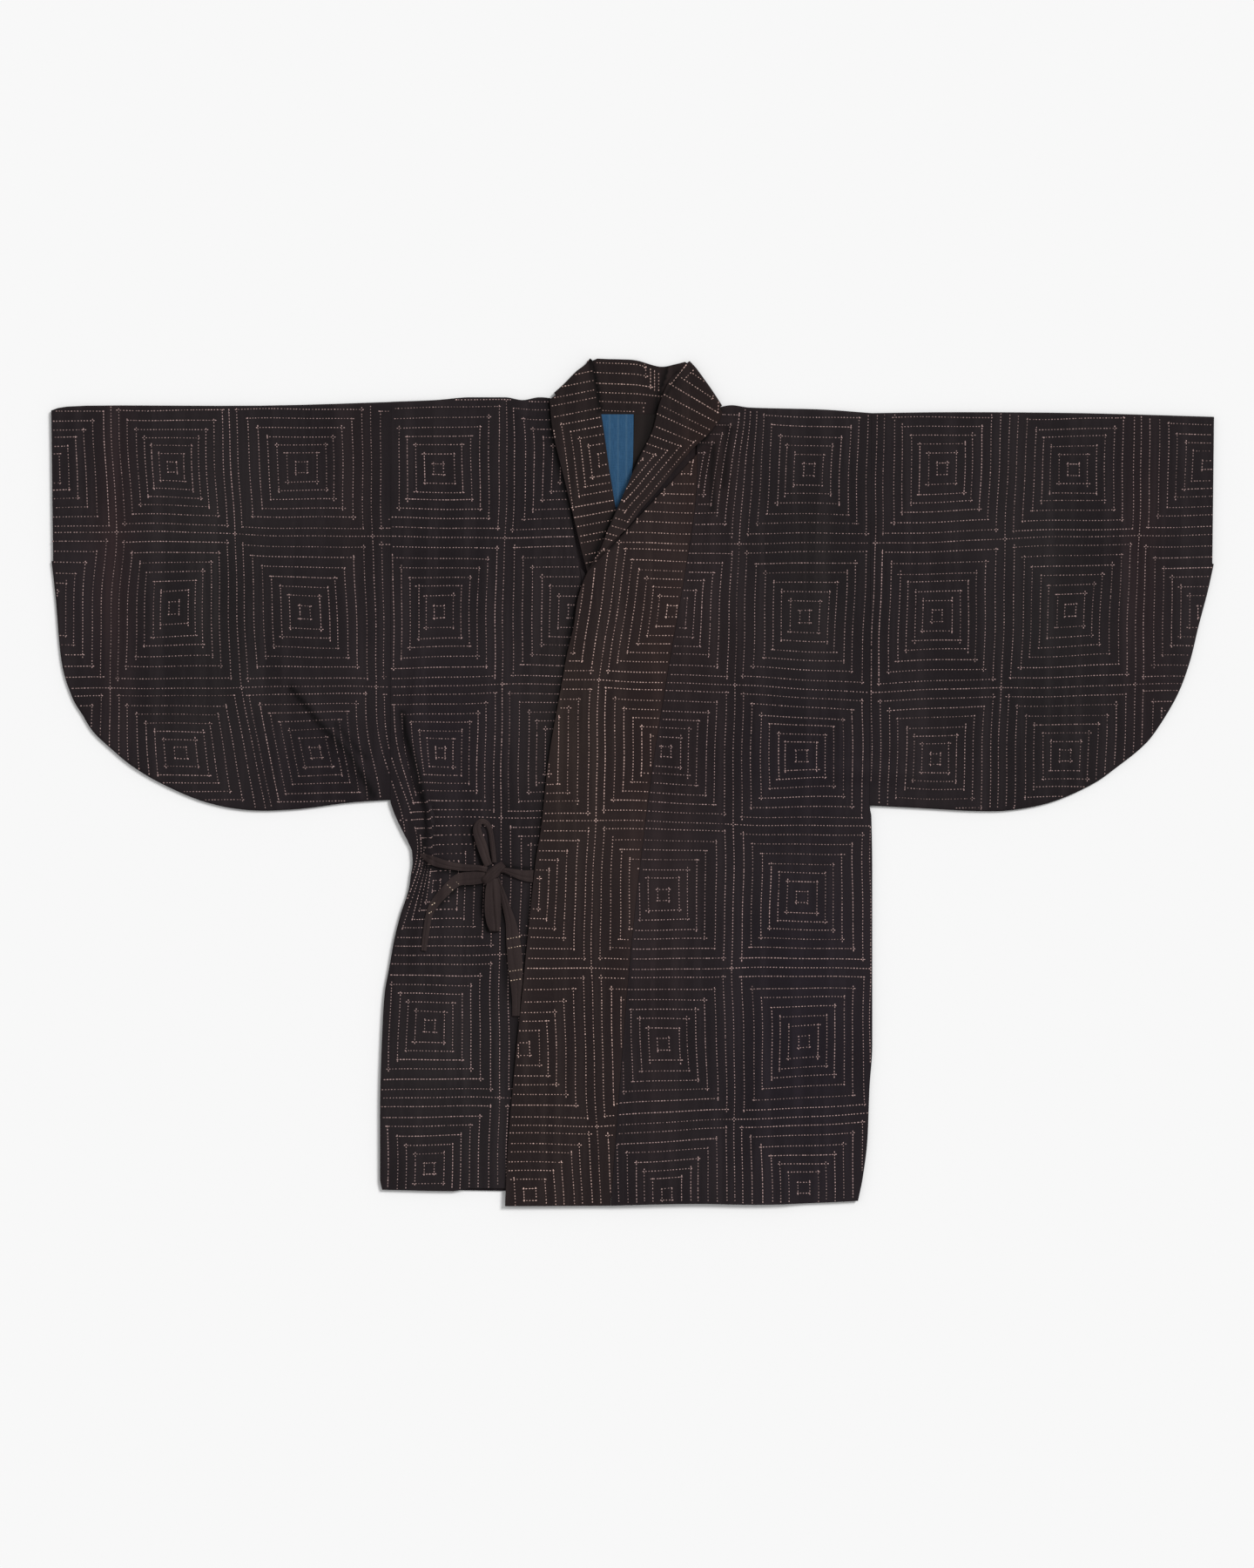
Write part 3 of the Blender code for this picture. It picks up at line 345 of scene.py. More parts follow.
def read(rows, key, at, value):
    """One column of a table as a smooth curve that never overshoots its rows."""
    xs = np.array([row[key] for row in rows], float)
    ys = np.array([row[value] for row in rows], float)
    if xs[0] > xs[-1]:
        xs, ys = xs[::-1], ys[::-1]
    slopes = np.diff(ys) / np.diff(xs)
    tangents = np.zeros_like(xs)
    tangents[0], tangents[-1] = slopes[0], slopes[-1]
    product = slopes[:-1] * slopes[1:]
    total = np.where(product > 0, slopes[:-1] + slopes[1:], 1.0)
    tangents[1:-1] = np.where(product > 0, 2 * product / total, 0.0)
    index = np.clip(np.searchsorted(xs, at, "right") - 1, 0, len(xs) - 2)
    width = xs[index + 1] - xs[index]
    t = np.clip((at - xs[index]) / width, 0.0, 1.0)
    return ((1 + 2 * t) * (1 - t) ** 2 * ys[index] + t * (1 - t) ** 2 * width * tangents[index]
            + t * t * (3 - 2 * t) * ys[index + 1] + t * t * (t - 1) * width * tangents[index + 1])


def resample(rows, count):
    """A smooth curve through a table's rows, as arrays read at evenly spaced row numbers."""
    places = np.linspace(0, len(rows) - 1, count + 1)
    index = np.minimum(places.astype(int), len(rows) - 2)
    t = places - index
    result = {}
    for key in rows[0]:
        values = np.array([row[key] for row in rows], float)
        a, b, c, d = (values[np.clip(index + step, 0, len(rows) - 1)] for step in (-1, 0, 1, 2))
        result[key] = 0.5 * (2 * b + (c - a) * t + (2 * a - 5 * b + 4 * c - d) * t ** 2
                             + (3 * b - a - 3 * c + d) * t ** 3)
    return result


def segment_distance(x, y, a, b):
    dx, dy = b[0] - a[0], b[1] - a[1]
    t = np.clip(((x - a[0]) * dx + (y - a[1]) * dy) / (dx * dx + dy * dy), 0.0, 1.0)
    away_x, away_y = x - a[0] - dx * t, y - a[1] - dy * t
    return np.hypot(away_x, away_y), t, dx * away_y - dy * away_x


def fold_height(x, y):
    """Height of all folds over the smooth cloth."""
    total = np.zeros(np.shape(x))
    for name, rows in FOLDS.items():
        steep = TUCK_STEEP if name == "side tuck" else 1.0
        best = np.full(np.shape(x), 1e9)
        rise = np.zeros(np.shape(x))
        for low, high in zip(rows, rows[1:]):
            distance, t, side = segment_distance(x, y, (low["x"], low["y"]), (high["x"], high["y"]))
            height = low["height"] + (high["height"] - low["height"]) * t
            left = low["left"] + (high["left"] - low["left"]) * t
            right = low["right"] + (high["right"] - low["right"]) * t
            reach = np.where(side < 0, left * steep, right)
            value = height * (1.0 - smooth(0.0, reach, distance))
            rise = np.where(distance < best, value, rise)
            best = np.minimum(best, distance)
        total += rise
    return total


def swell(x, y):
    """The slight unevenness of cloth that lies loose, never below the smooth form."""
    waves = (np.sin(x / 31 + 0.7 * np.sin(y / 47)) * np.sin(y / 39 + 0.9)
             + 0.6 * np.sin(x / 17 + y / 23 + 1.3) * np.sin(y / 61 + 2.0))
    return 0.3 * (waves + 1.6) / 1.6


def underlap(x, y):
    """1 where the left front lies on the right one, 0 where it lies lower."""
    edge = read(FREE_EDGE_RIGHT, "y", y, "x")
    return 1.0 - smooth(edge + UNDERLAP_MARGIN, edge + UNDERLAP_MARGIN + CLIMB, x)


def lower_front_z(x, y):
    return FRONT_Z + fold_height(x, y) + swell(x, y)


def left_level(x, y):
    on_right = FRONT_Z + (WALL + LAYER_GAP) * underlap(x, y)
    on_collar = COLLAR_Z + COLLAR_WALL + SEAM_GAP
    climb = 1.0 - smooth(HIDDEN_COLLAR_REACH, HIDDEN_COLLAR_REACH + CLIMB,
                         segment_distance(x, y, *HIDDEN_COLLAR_AXIS)[0])
    return on_right + (on_collar - on_right) * climb + swell(x, y)


def left_front_z(x, y):
    return left_level(x, y) + fold_height(x, y)


def left_branch_z(x, y):
    return left_level(x, y) + WALL + SEAM_GAP


def right_branch_z(x, y):
    return COLLAR_Z + swell(x, y)


OKUMI_CURVE = resample(OKUMI_SEAM, 60)
OKUMI_WIDTH = 100
OKUMI_NECKLINE = ((-46, 226), (68, 352))


def okumi_seam_x(y, half):
    return half * np.interp(-np.asarray(y), -OKUMI_CURVE["y"], OKUMI_CURVE["x"])


def stitch_grid(uprights, levels, knots_x):
    return {
        "first_p": uprights[0]["number"], "first_q": levels[0]["number"],
        "x": np.array([line["x"] for line in uprights], float),
        "y": np.array([line["y"] for line in levels], float), "knots_x": knots_x,
    }


GRID_RIGHT = stitch_grid(UPRIGHTS_RIGHT, LEVELS_RIGHT, KNOTS_X_RIGHT)
GRID_LEFT = stitch_grid(UPRIGHTS_LEFT, LEVELS_LEFT, KNOTS_X_LEFT)


def along_lines(lines, knots, at):
    """Every line's offset at each place: an array of places by lines."""
    order = np.argsort(knots)
    knots = np.array(knots, float)[order]
    return np.stack([np.interp(at, knots, line[order]) for line in lines], axis=-1)


def from_cells(grid, p, q):
    """Place on the cloth of a point given in squares of the pattern."""
    x = grid["x"][0, 0] + (p - grid["first_p"]) * FIRST_GUESS_WIDTH
    y = np.zeros_like(x)
    for _ in range(GRID_ROUNDS):
        y = blend_lines(along_lines(grid["y"], grid["knots_x"], x), q - grid["first_q"])
        x = blend_lines(along_lines(grid["x"], KNOTS_Y, y), p - grid["first_p"])
    return x, y


def line_pair(lines, passed):
    """The number of the line before each place, and the offsets of that line and of the next."""
    index = np.clip(passed, 0, lines.shape[-1] - 2)
    low, high = (np.take_along_axis(lines, index[..., None] + step, -1)[..., 0] for step in (0, 1))
    return index, low, high


def blend_lines(lines, place):
    index, low, high = line_pair(lines, np.floor(place).astype(int))
    return low + (high - low) * (place - index)


def to_cells(grid, x, y):
    """The reverse of from_cells, for the furrows that the stitches pull into the cloth."""
    uprights = along_lines(grid["x"], KNOTS_Y, y)
    levels = along_lines(grid["y"], grid["knots_x"], x)
    result = []
    for lines, value, first, sign in ((uprights, x, grid["first_p"], 1), (levels, y, grid["first_q"], -1)):
        index, low, high = line_pair(lines, np.sum(sign * value[..., None] > sign * lines, axis=-1) - 1)
        result.append(first + index + (value - low) / (high - low))
    return result


def wander(x, y):
    """How a hand-stitched line strays from its place."""
    return (0.3 * np.sin(y / 13 + x / 51) + 0.8 * np.sin(y / 33 - x / 37 + 1.1),
            0.3 * np.sin(x / 14 - y / 47 + 0.4) + 0.8 * np.sin(x / 37 + y / 41 + 2.3))


def tuck_slip(x, y):
    """How far the pattern slips down on the outer side of the tuck's crest."""
    rows = FOLDS["side tuck"]
    crest = np.interp(-np.asarray(y), [-row["y"] for row in rows], [row["x"] for row in rows])
    outside = (1.0 - smooth(crest - 1, crest + 1.5, x)) * smooth(*TUCK_SLIP_SIDE, x)
    return TUCK_SLIP * outside * smooth(*TUCK_SLIP_LOW, y) * (1.0 - smooth(*TUCK_SLIP_HIGH, y))


def spot_fade(spot, x, y):
    """A soft round spot: 1 at its middle, and close to 0 at twice its reach."""
    return np.exp(-((x - spot["x"]) / spot["wide"]) ** 2 - ((y - spot["y"]) / spot["high"]) ** 2)


def draw_in(x, y):
    """Where a point of the smooth pattern lies once the cloth is pushed, and gathered at the tie."""
    shift_x, shift_y = wander(x, y)
    for push in PUSHES:
        fade = spot_fade(push, x, y)
        shift_x = shift_x + push["dx"] * fade
        shift_y = shift_y + push["dy"] * fade
    level = (np.exp(-((y - GATHER["y"]) / GATHER["reach"]) ** 2)
             * smooth(GATHER["gone"], GATHER["x"] - GATHER["far"], x))
    shift_x = shift_x + GATHER["draw"] * level * np.maximum(0.0, GATHER["x"] - x)
    x, y = x + shift_x, y + shift_y
    return x, y - tuck_slip(x, y)


def even_rings(cells):
    """Pattern units in which the lines inside a square lie evenly spaced."""
    whole = np.floor(cells)
    away = cells - whole - 0.5
    even = np.interp(np.abs(away), (0.0, *RING_HALVES, 0.5), np.arange(RINGS + 1) / (2 * RINGS))
    return whole + 0.5 + np.sign(away) * even


def pattern_uv(grid, x, y):
    cells = to_cells(grid, *draw_out(x, y))
    return np.stack([even_rings(cells[0]), even_rings(cells[1])], axis=-1)


def draw_out(x, y):
    """The reverse of draw_in."""
    y = y + tuck_slip(x, y)
    flat_x, flat_y = x, y
    for _ in range(DRAW_OUT_ROUNDS):
        there_x, there_y = draw_in(flat_x, flat_y)
        there_y = there_y + tuck_slip(there_x, there_y)
        flat_x, flat_y = flat_x + x - there_x, flat_y + y - there_y
    return flat_x, flat_y


def make_mesh(name, points, faces, material, uv=None):
    """A mesh object from an array of points in millimetres and an array of faces with equal side counts."""
    mesh = bpy.data.meshes.new(name)
    sides = faces.shape[1]
    mesh.vertices.add(len(points))
    mesh.vertices.foreach_set("co", (points * MM).astype(np.float32).ravel())
    mesh.loops.add(faces.size)
    mesh.loops.foreach_set("vertex_index", faces.astype(np.int32).ravel())
    mesh.polygons.add(len(faces))
    mesh.polygons.foreach_set("loop_start", np.arange(0, faces.size, sides, dtype=np.int32))
    mesh.update(calc_edges=True)
    if uv is not None:
        layer = mesh.uv_layers.new(name="pattern")
        layer.data.foreach_set("uv", uv[faces.ravel()].astype(np.float32).ravel())
    mesh.materials.append(material)
    mesh.shade_smooth()
    obj = bpy.data.objects.new(name, mesh)
    bpy.context.scene.collection.objects.link(obj)
    return obj


def cloth_sheet(name, points, wall, material, uv=None, keep=None, closed=False):
    """A grid of points, rows by columns, as a wall of cloth."""
    rows, columns = points.shape[:2]
    numbers = np.arange(rows * columns).reshape(rows, columns)
    if closed:
        numbers = np.vstack([numbers, numbers[:1]])
    corners = [numbers[:-1, :-1], numbers[:-1, 1:], numbers[1:, 1:], numbers[1:, :-1]]
    faces = np.stack(corners, axis=-1)
    if keep is not None:
        faces = faces[keep]
    faces = faces.reshape(-1, 4)
    used = np.unique(faces)
    renumber = np.full(rows * columns, -1)
    renumber[used] = np.arange(len(used))
    flat_uv = None if uv is None else uv.reshape(-1, 2)[used]
    flat = points.reshape(-1, 3)[used]
    obj = make_mesh(name, flat, renumber[faces], material, uv=flat_uv)
    # Painted shade in the creases and beside other pieces, on the upper layers only, times the soft dyed
    # patches, kept as a colour attribute.
    light = painted_shade_light(name.removesuffix("_cloth"), flat[:, 0], flat[:, 1])
    light = np.where(flat[:, 2] > WALL / 2 + 0.1, light, 1.0)
    dye_and_painted_shade = [light * (1.0 + soft_spots(DYE_SPOTS, flat[:, 0], flat[:, 1], tint))
           for tint in ("red", "green", "blue")]
    dye_and_painted_shade = np.stack([*dye_and_painted_shade, np.ones(len(flat))], axis=-1)
    colours = obj.data.attributes.new("dye_and_painted_shade", "FLOAT_COLOR", "POINT")
    colours.data.foreach_set("color", dye_and_painted_shade.astype(np.float32).ravel())
    shell = obj.modifiers.new("wall", "SOLIDIFY")
    shell.thickness = wall * MM
    shell.offset = 0.0
    shell.use_even_offset = True
    edge = obj.modifiers.new("rounded edge", "BEVEL")
    edge.width = EDGE_ROUND * wall * MM
    edge.segments = 3
    edge.limit_method = "ANGLE"
    edge.angle_limit = math.radians(50)
    edge.harden_normals = True
    return obj


def spaced(start, end, step):
    return np.linspace(start, end, max(2, int(round(abs(end - start) / step)) + 1))


def turn(fold_x, fold_y, out_x, out_y, low_z, high_z, angle, wall):
    """Points on a hairpin fold: angle 0 is on the lower layer and pi on the upper one."""
    radius = (high_z - low_z) / 2
    reach = -radius - wall / 2 + radius * np.sin(angle)
    return places(fold_x + out_x * reach, fold_y + out_y * reach, low_z + radius * (1.0 - np.cos(angle)))


def settle(panel, u, part_down, is_front):
    """Place on a body panel: u runs from the side to the inner edge, part_down from the shoulder."""
    half = panel["half"]
    y = SHOULDER_MID + (HEM_MID - SHOULDER_MID) * part_down + 0 * u
    for _ in range(4):
        side_x = read(panel["side"], "y", y, "x")
        if is_front:
            inner = okumi_seam_x(y, half) + half * SEWN_GAP / 2
            x = side_x + (inner - side_x) * u
        else:
            neck = side_x + (half * NECK_X - side_x) * u
            x = np.where(u <= 1.0, neck, half * (NECK_X + (SEWN_GAP / 2 - NECK_X) * (u - 1.0)))
        top = read(panel["shoulder"], "x", x, "y") - np.where(u <= 1.0, FOLD_INSET, 0.0)
        bottom = read(panel["hem"] if is_front else HEM_BACK, "x", x, "y")
        y = top + (bottom - top) * part_down
    return x, y


def body_panel(panel, material):
    """One long panel: up the back, over the shoulder fold and down the front."""
    width = abs(panel["side"][0]["x"]) - NECK_X
    length = SHOULDER_MID - HEM_MID
    across = spaced(0.0, 1.0, CELL / width)
    neck = len(across) - 1
    across = np.concatenate([across, spaced(1.0, 2.0, 0.12)[1:]])
    up = spaced(1.0, 0.0, BACK_CELL / 2 / length)
    down = spaced(0.0, 1.0, CELL / length)
    front_u = np.minimum(across, 1.0)
    back_x, back_y = settle(panel, across[None, :], up[:, None], False)
    back = places(back_x, back_y, WALL / 2)
    top_x, top_y = settle(panel, across, 0.0, False)
    angles = np.pi * np.arange(1, FOLD_STEPS) / FOLD_STEPS
    high_z = panel["level"](top_x, top_y) + WALL / 2
    fold = turn(top_x[None, :], top_y[None, :] + FOLD_INSET, 0.0, 1.0, WALL / 2, high_z[None, :],
                angles[:, None], WALL)
    front_x, front_y = settle(panel, front_u[None, :], down[:, None], True)
    front = places(front_x, front_y, panel["level"](front_x, front_y) + WALL / 2)
    points = np.concatenate([back, fold, front])
    keep = np.ones((len(points) - 1, len(across) - 1), bool)
    keep[len(up) - 1:, neck:] = False
    uv = pattern_uv(panel["grid"], points[..., 0], points[..., 1])
    return cloth_sheet(panel["name"] + "_cloth", points, WALL, material, uv=uv, keep=keep)


def okumi(name, edge, hem, level, half, grid, corner, material, cell=CELL):
    """Tapered overlap panel between a front's seam and its free edge."""
    seam_end = read(hem, "x", okumi_seam_x(OKUMI_HEM_Y, half), "y")
    edge_end = read(hem, "x", read(edge, "y", HEM_MID, "x"), "y")
    part = spaced(0.0, 1.0, cell / (corner["edge_y"] - HEM_MID))[:, None]
    u = spaced(0.0, 1.0, cell / OKUMI_WIDTH)[None, :]
    seam_y = corner["seam_y"] + (seam_end - corner["seam_y"]) * part
    edge_y = corner["edge_y"] + (edge_end - corner["edge_y"]) * part
    seam_x = okumi_seam_x(seam_y, half) - half * SEWN_GAP / 2
    edge_x = read(edge, "y", edge_y, "x")
    x = seam_x + (edge_x - seam_x) * u
    y = seam_y + (edge_y - seam_y) * u
    points = places(x, y, level(x, y) + WALL / 2)
    return cloth_sheet(name + "_cloth", points, WALL, material, uv=pattern_uv(grid, x, y))


def measured(x, y):
    """The length of a path up to each of its points."""
    return np.concatenate([[0.0], np.cumsum(np.hypot(np.diff(x), np.diff(y)))])


def path_at(path, part):
    """Points a given part of the way along a path, measured along it."""
    length = measured(path["x"], path["y"])
    at = np.clip(part, 0.0, 1.0) * length[-1]
    return np.interp(at, length, path["x"]), np.interp(at, length, path["y"])


def sleeve_patch(sleeve, u, v):
    """Place between the top fold (v 1), the bag (v 0), the armhole (u 0) and the cuff (u 1)."""
    top, bag, cuff = sleeve["top"], sleeve["bag"], sleeve["cuff"]
    out_x, out_y = bag_normal(sleeve, u)
    top_x, top_y = path_at(top, u)
    bag_x, bag_y = path_at(bag, u)
    bag_x, bag_y = bag_x - out_x * FOLD_INSET, bag_y - out_y * FOLD_INSET
    top_y = top_y - FOLD_INSET
    low_y, high_y = bag["y"][0] + FOLD_INSET, top["y"][0] - FOLD_INSET
    arm_y = low_y + (high_y - low_y) * v
    arm_x = read(sleeve["side"], "y", arm_y, "x") + math.copysign(SEWN_GAP, cuff["x"])
    cuff_low, cuff_high = cuff["bottom"], cuff["top"] - FOLD_INSET
    cuff_y = cuff_low + (cuff_high - cuff_low) * v
    x = (1 - v) * bag_x + v * top_x + (1 - u) * arm_x + u * cuff["x"]
    y = (1 - v) * bag_y + v * top_y + (1 - u) * arm_y + u * cuff_y
    corners = [((1 - u) * (1 - v), bag["x"][0], low_y), (u * (1 - v), bag["x"][-1], cuff_low),
               ((1 - u) * v, top["x"][0], high_y), (u * v, top["x"][-1], cuff_high)]
    for weight, corner_x, corner_y in corners:
        x = x - weight * corner_x
        y = y - weight * corner_y
    return x, y


def bag_normal(sleeve, u):
    """The way out of the sleeve, square to the edge of its bag."""
    step = 0.01
    ax, ay = path_at(sleeve["bag"], u - step)
    bx, by = path_at(sleeve["bag"], u + step)
    outward = math.copysign(1.0, sleeve["cuff"]["x"])
    length = np.hypot(bx - ax, by - ay)
    return outward * (by - ay) / length, -outward * (bx - ax) / length


def make_sleeve(sleeve, material):
    """A flat tube: rings from the armhole to the cuff, folded at the top, sewn round the bag."""
    u = spaced(0.0, 1.0, CELL / SLEEVE_SPAN)[None, :]
    back_v = spaced(0.0, 1.0, BACK_CELL / 2 / SLEEVE_DEPTH)[:, None]
    front_v = spaced(1.0, 0.0, CELL / SLEEVE_SPAN)[:, None]
    angles = (np.pi * np.arange(1, FOLD_STEPS) / FOLD_STEPS)[:, None]
    x, y = sleeve_patch(sleeve, u, back_v)
    back = places(x, y, WALL / 2)
    x, y = sleeve_patch(sleeve, u, 1.0)
    top = turn(x, y + FOLD_INSET, 0.0, 1.0, WALL / 2, lower_front_z(x, y) + WALL / 2, angles, WALL)
    x, y = sleeve_patch(sleeve, u, front_v)
    front = places(x, y, lower_front_z(x, y) + WALL / 2)
    x, y = sleeve_patch(sleeve, u, 0.0)
    out_x, out_y = bag_normal(sleeve, u)
    bag = turn(x + out_x * FOLD_INSET, y + out_y * FOLD_INSET, out_x, out_y, WALL / 2,
               lower_front_z(x, y) + WALL / 2, np.pi - angles, WALL)
    points = np.concatenate([back, top, front, bag])
    uv = pattern_uv(sleeve["grid"], points[..., 0], points[..., 1])
    return cloth_sheet(sleeve["name"] + "_cloth", points, WALL, material, uv=uv, closed=True)


# How far the collar's two folds bulge, along their length.
FOLD_BULGE_RIGHT = table(
    "part out", (0.0, 0.8), (0.3, 0.0), (0.6, 0.3), (0.85, -1.4), (1.0, -0.4),
)
FOLD_BULGE_LEFT = table(
    "part out", (0.0, 0.0), (0.4, 0.8), (0.8, 0.6), (1.0, -0.8),
)
COLLAR_ROWS = (
    ("right", COLLAR_RIGHT_BRANCH, 80), ("back", COLLAR_BACK, 48), ("left", COLLAR_LEFT_BRANCH, 90),
)
COLLAR_ACROSS = 17


def make_collar(material):
    """One doubled band: up one front, folded over, round the back of the neck, and down the other."""
    u = np.linspace(0.0, 1.0, COLLAR_ACROSS)[None, :]
    steps = np.pi * np.arange(0, FOLD_STEPS + 1)[:, None] / FOLD_STEPS
    levels = {"right": right_branch_z, "back": lambda x, y: 0.0 * x, "left": left_branch_z}
    strips = []
    for name, rows, count in COLLAR_ROWS:
        section = resample(rows, count)
        x = section["seam_x"][:, None] + (section["free_x"] - section["seam_x"])[:, None] * u
        y = section["seam_y"][:, None] + (section["free_y"] - section["seam_y"])[:, None] * u
        strips.append(places(x, y, levels[name](x, y) + COLLAR_WALL / 2))
    folds = []
    for line, angles, level, bulge in ((COLLAR_FOLD_RIGHT, np.pi - steps, right_branch_z, FOLD_BULGE_RIGHT),
                                       (COLLAR_FOLD_LEFT, steps, left_branch_z, FOLD_BULGE_LEFT)):
        along_x, along_y = line["free_x"] - line["seam_x"], line["free_y"] - line["seam_y"]
        length = math.hypot(along_x, along_y)
        out_x, out_y = -along_y / length, along_x / length
        if out_x * line["seam_x"] < 0:
            out_x, out_y = -out_x, -out_y
        out = read(bulge, "part", u, "out")
        x = line["seam_x"] + along_x * u + out_x * out
        y = line["seam_y"] + along_y * u + out_y * out
        high_z = level(x, y) + COLLAR_WALL / 2
        folds.append(turn(x, y, out_x, out_y, COLLAR_WALL / 2, high_z, angles, COLLAR_WALL))
    points = np.concatenate([strips[0], folds[0], strips[1], folds[1], strips[2]])
    return cloth_sheet("collar_cloth", points, COLLAR_WALL, material)


def make_lining(name, edges, material):
    section = resample(edges, 32)
    u = np.linspace(0.0, 1.0, 14)[None, :]
    x = section["left"][:, None] + (section["right"] - section["left"])[:, None] * u
    y = section["y"][:, None] + 0 * u
    ripple = 0.12 * np.sin(x / 5.0 + y / 40.0)
    points = places(x, y, FRONT_Z + LINING_LIFT + LINING_WALL / 2 + ripple)
    return cloth_sheet(name + "_cloth", points, LINING_WALL, material)


def tie_rest_z(x, y, lift):
    return lower_front_z(x, y) + WALL + TIE_CLEARANCE + TIE_WALL / 2 + lift


def make_tie_strip(name, path, material):
    """A strip whose edges curl down a little, with a crease along it."""
    rows = resample(path, 10 * (len(path) - 1))
    ahead_x, ahead_y = np.gradient(rows["x"]), np.gradient(rows["y"])
    length = np.hypot(ahead_x, ahead_y)
    across = np.linspace(-1.0, 1.0, 15)[None, :]
    offset = rows["half"][:, None] * across
    x = rows["x"][:, None] - (ahead_y / length)[:, None] * offset
    y = rows["y"][:, None] + (ahead_x / length)[:, None] * offset
    along = np.cumsum(length)[:, None]
    crease = 0.3 * np.sin(along / 23 + len(name))
    form = 0.7 * (1.0 - across ** 2) - 0.55 * np.exp(-((across - crease) / 0.16) ** 2)
    points = places(x, y, tie_rest_z(x, y, rows["lift"][:, None]) + form)
    return cloth_sheet(name + "_cloth", points, TIE_WALL, material)


def make_tie_loop_down(material):
    """The loop that hangs: a lower layer, the turn at its end, and a creased upper layer."""
    loop = LOOP_DOWN
    layer = TIE_WALL + LAYER_GAP
    part = np.linspace(0.0, 1.0, 34)[:, None]
    across = np.linspace(-1.0, 1.0, 17)[None, :]

    def row(part):
        half = read(LOOP_DOWN_ROWS, "part", part, "half")
        x = read(LOOP_DOWN_ROWS, "part", part, "x") + across * half
        y = loop["top"] + (loop["bottom"] - loop["top"]) * part + 0 * across
        return x, y, tie_rest_z(x, y, loop["lift"] * (1.0 - smooth(0.5, 0.95, part)))

    x, y, z = row(part)
    crease = -0.1 + 0.35 * part
    groove = np.exp(-((across - crease) / 0.13) ** 2)
    form = 1.1 * (1.0 - across ** 2) - 1.2 * groove * smooth(0.02, 0.3, part)
    form += 0.5 * np.exp(-((across - crease - 0.3) / 0.2) ** 2)
    lower = places(x, y, z)
    upper = places(x, y, z + layer + form)[::-1]
    angles = np.pi * np.arange(1, 8)[:, None] / 8
    fold = turn(x[-1:], y[-1:] - layer / 2 - TIE_WALL / 2, 0.0, -1.0, z[-1:], z[-1:] + layer + form[-1:],
                angles, TIE_WALL)
    return cloth_sheet("tie_loop_down_cloth", np.concatenate([lower, fold, upper]), TIE_WALL, material)


def knot_frame(along, across):
    """A place on the surface, from one along and across the knot."""
    turned = math.radians(KNOT["turn"])
    return (KNOT["x"] + along * math.cos(turned) - across * math.sin(turned),
            KNOT["y"] + along * math.sin(turned) + across * math.cos(turned))


def knot_base_z():
    return float(lower_front_z(np.array(KNOT["x"]), np.array(KNOT["y"]))) + WALL + TIE_CLEARANCE


def make_tie_wrap(material):
    """The turn of the strip that holds the knot, laid over it aslant, with creases round it."""
    part = np.linspace(-1.0, 1.0, 41)[:, None]
    across = np.linspace(-1.0, 1.0, 21)[None, :]
    half = WRAP["half_width"] * (0.86 + 0.2 * np.cos(part * 2.2))
    x, y = knot_frame(part * WRAP["half_length"], across * half + 0.5 * np.sin(2.4 * part))
    arch = np.sqrt(np.clip(1.0 - np.abs(part) ** 2.6, 0.0, 1.0))
    creases = 0.42 * np.cos(3.3 * math.pi * across + 1.4 * part + 0.5) * arch
    z = knot_base_z() + TIE_WALL / 2 + (WRAP["rise"] - 1.0 * across ** 2) * arch + creases
    return cloth_sheet("tie_knot_cloth", places(x, y, z), TIE_WALL, material)


def make_tie_core(material):
    """The lump of strip inside the knot."""
    theta = np.linspace(0.06, np.pi - 0.06, 25)[:, None]
    phi = np.linspace(0.0, 2 * np.pi, 41)[None, :-1]
    crease = 1.0 + 0.07 * np.cos(4 * phi + 2 * theta) * np.sin(theta)
    x, y = knot_frame(0.72 * KNOT["half_length"] * np.cos(theta),
                      KNOT["half_width"] * np.sin(theta) * np.cos(phi) * crease)
    z = knot_base_z() + KNOT["half_height"] * (1.0 + np.sin(theta) * np.sin(phi) * crease)
    points = places(x, y, z).swapaxes(0, 1)
    return cloth_sheet("tie_knot_core", points, TIE_WALL / 2, material, closed=True)


def stay(x, y):
    """The place of a line that is drawn where it lies."""
    return x, y


def sew_tie_bands(material):
    """Rows of pale stitches across the tails."""
    random = np.random.default_rng(SEED + TIE_DRAWS)
    lines = []
    for band in TIE_BANDS:
        reach_x = band["length"] / 2 * math.cos(math.radians(band["angle"]))
        reach_y = band["length"] / 2 * math.sin(math.radians(band["angle"]))
        lines.append((band["x"] - reach_x, band["y"] - reach_y, band["x"] + reach_x, band["y"] + reach_y))
    sewn = stitch_places(lines, stay, random)
    top = TIE_WALL / 2 + 0.5
    return stitches_on("tie_stitches", sewn, lambda x, y: tie_rest_z(x, y, 0.0) + top, material, random)
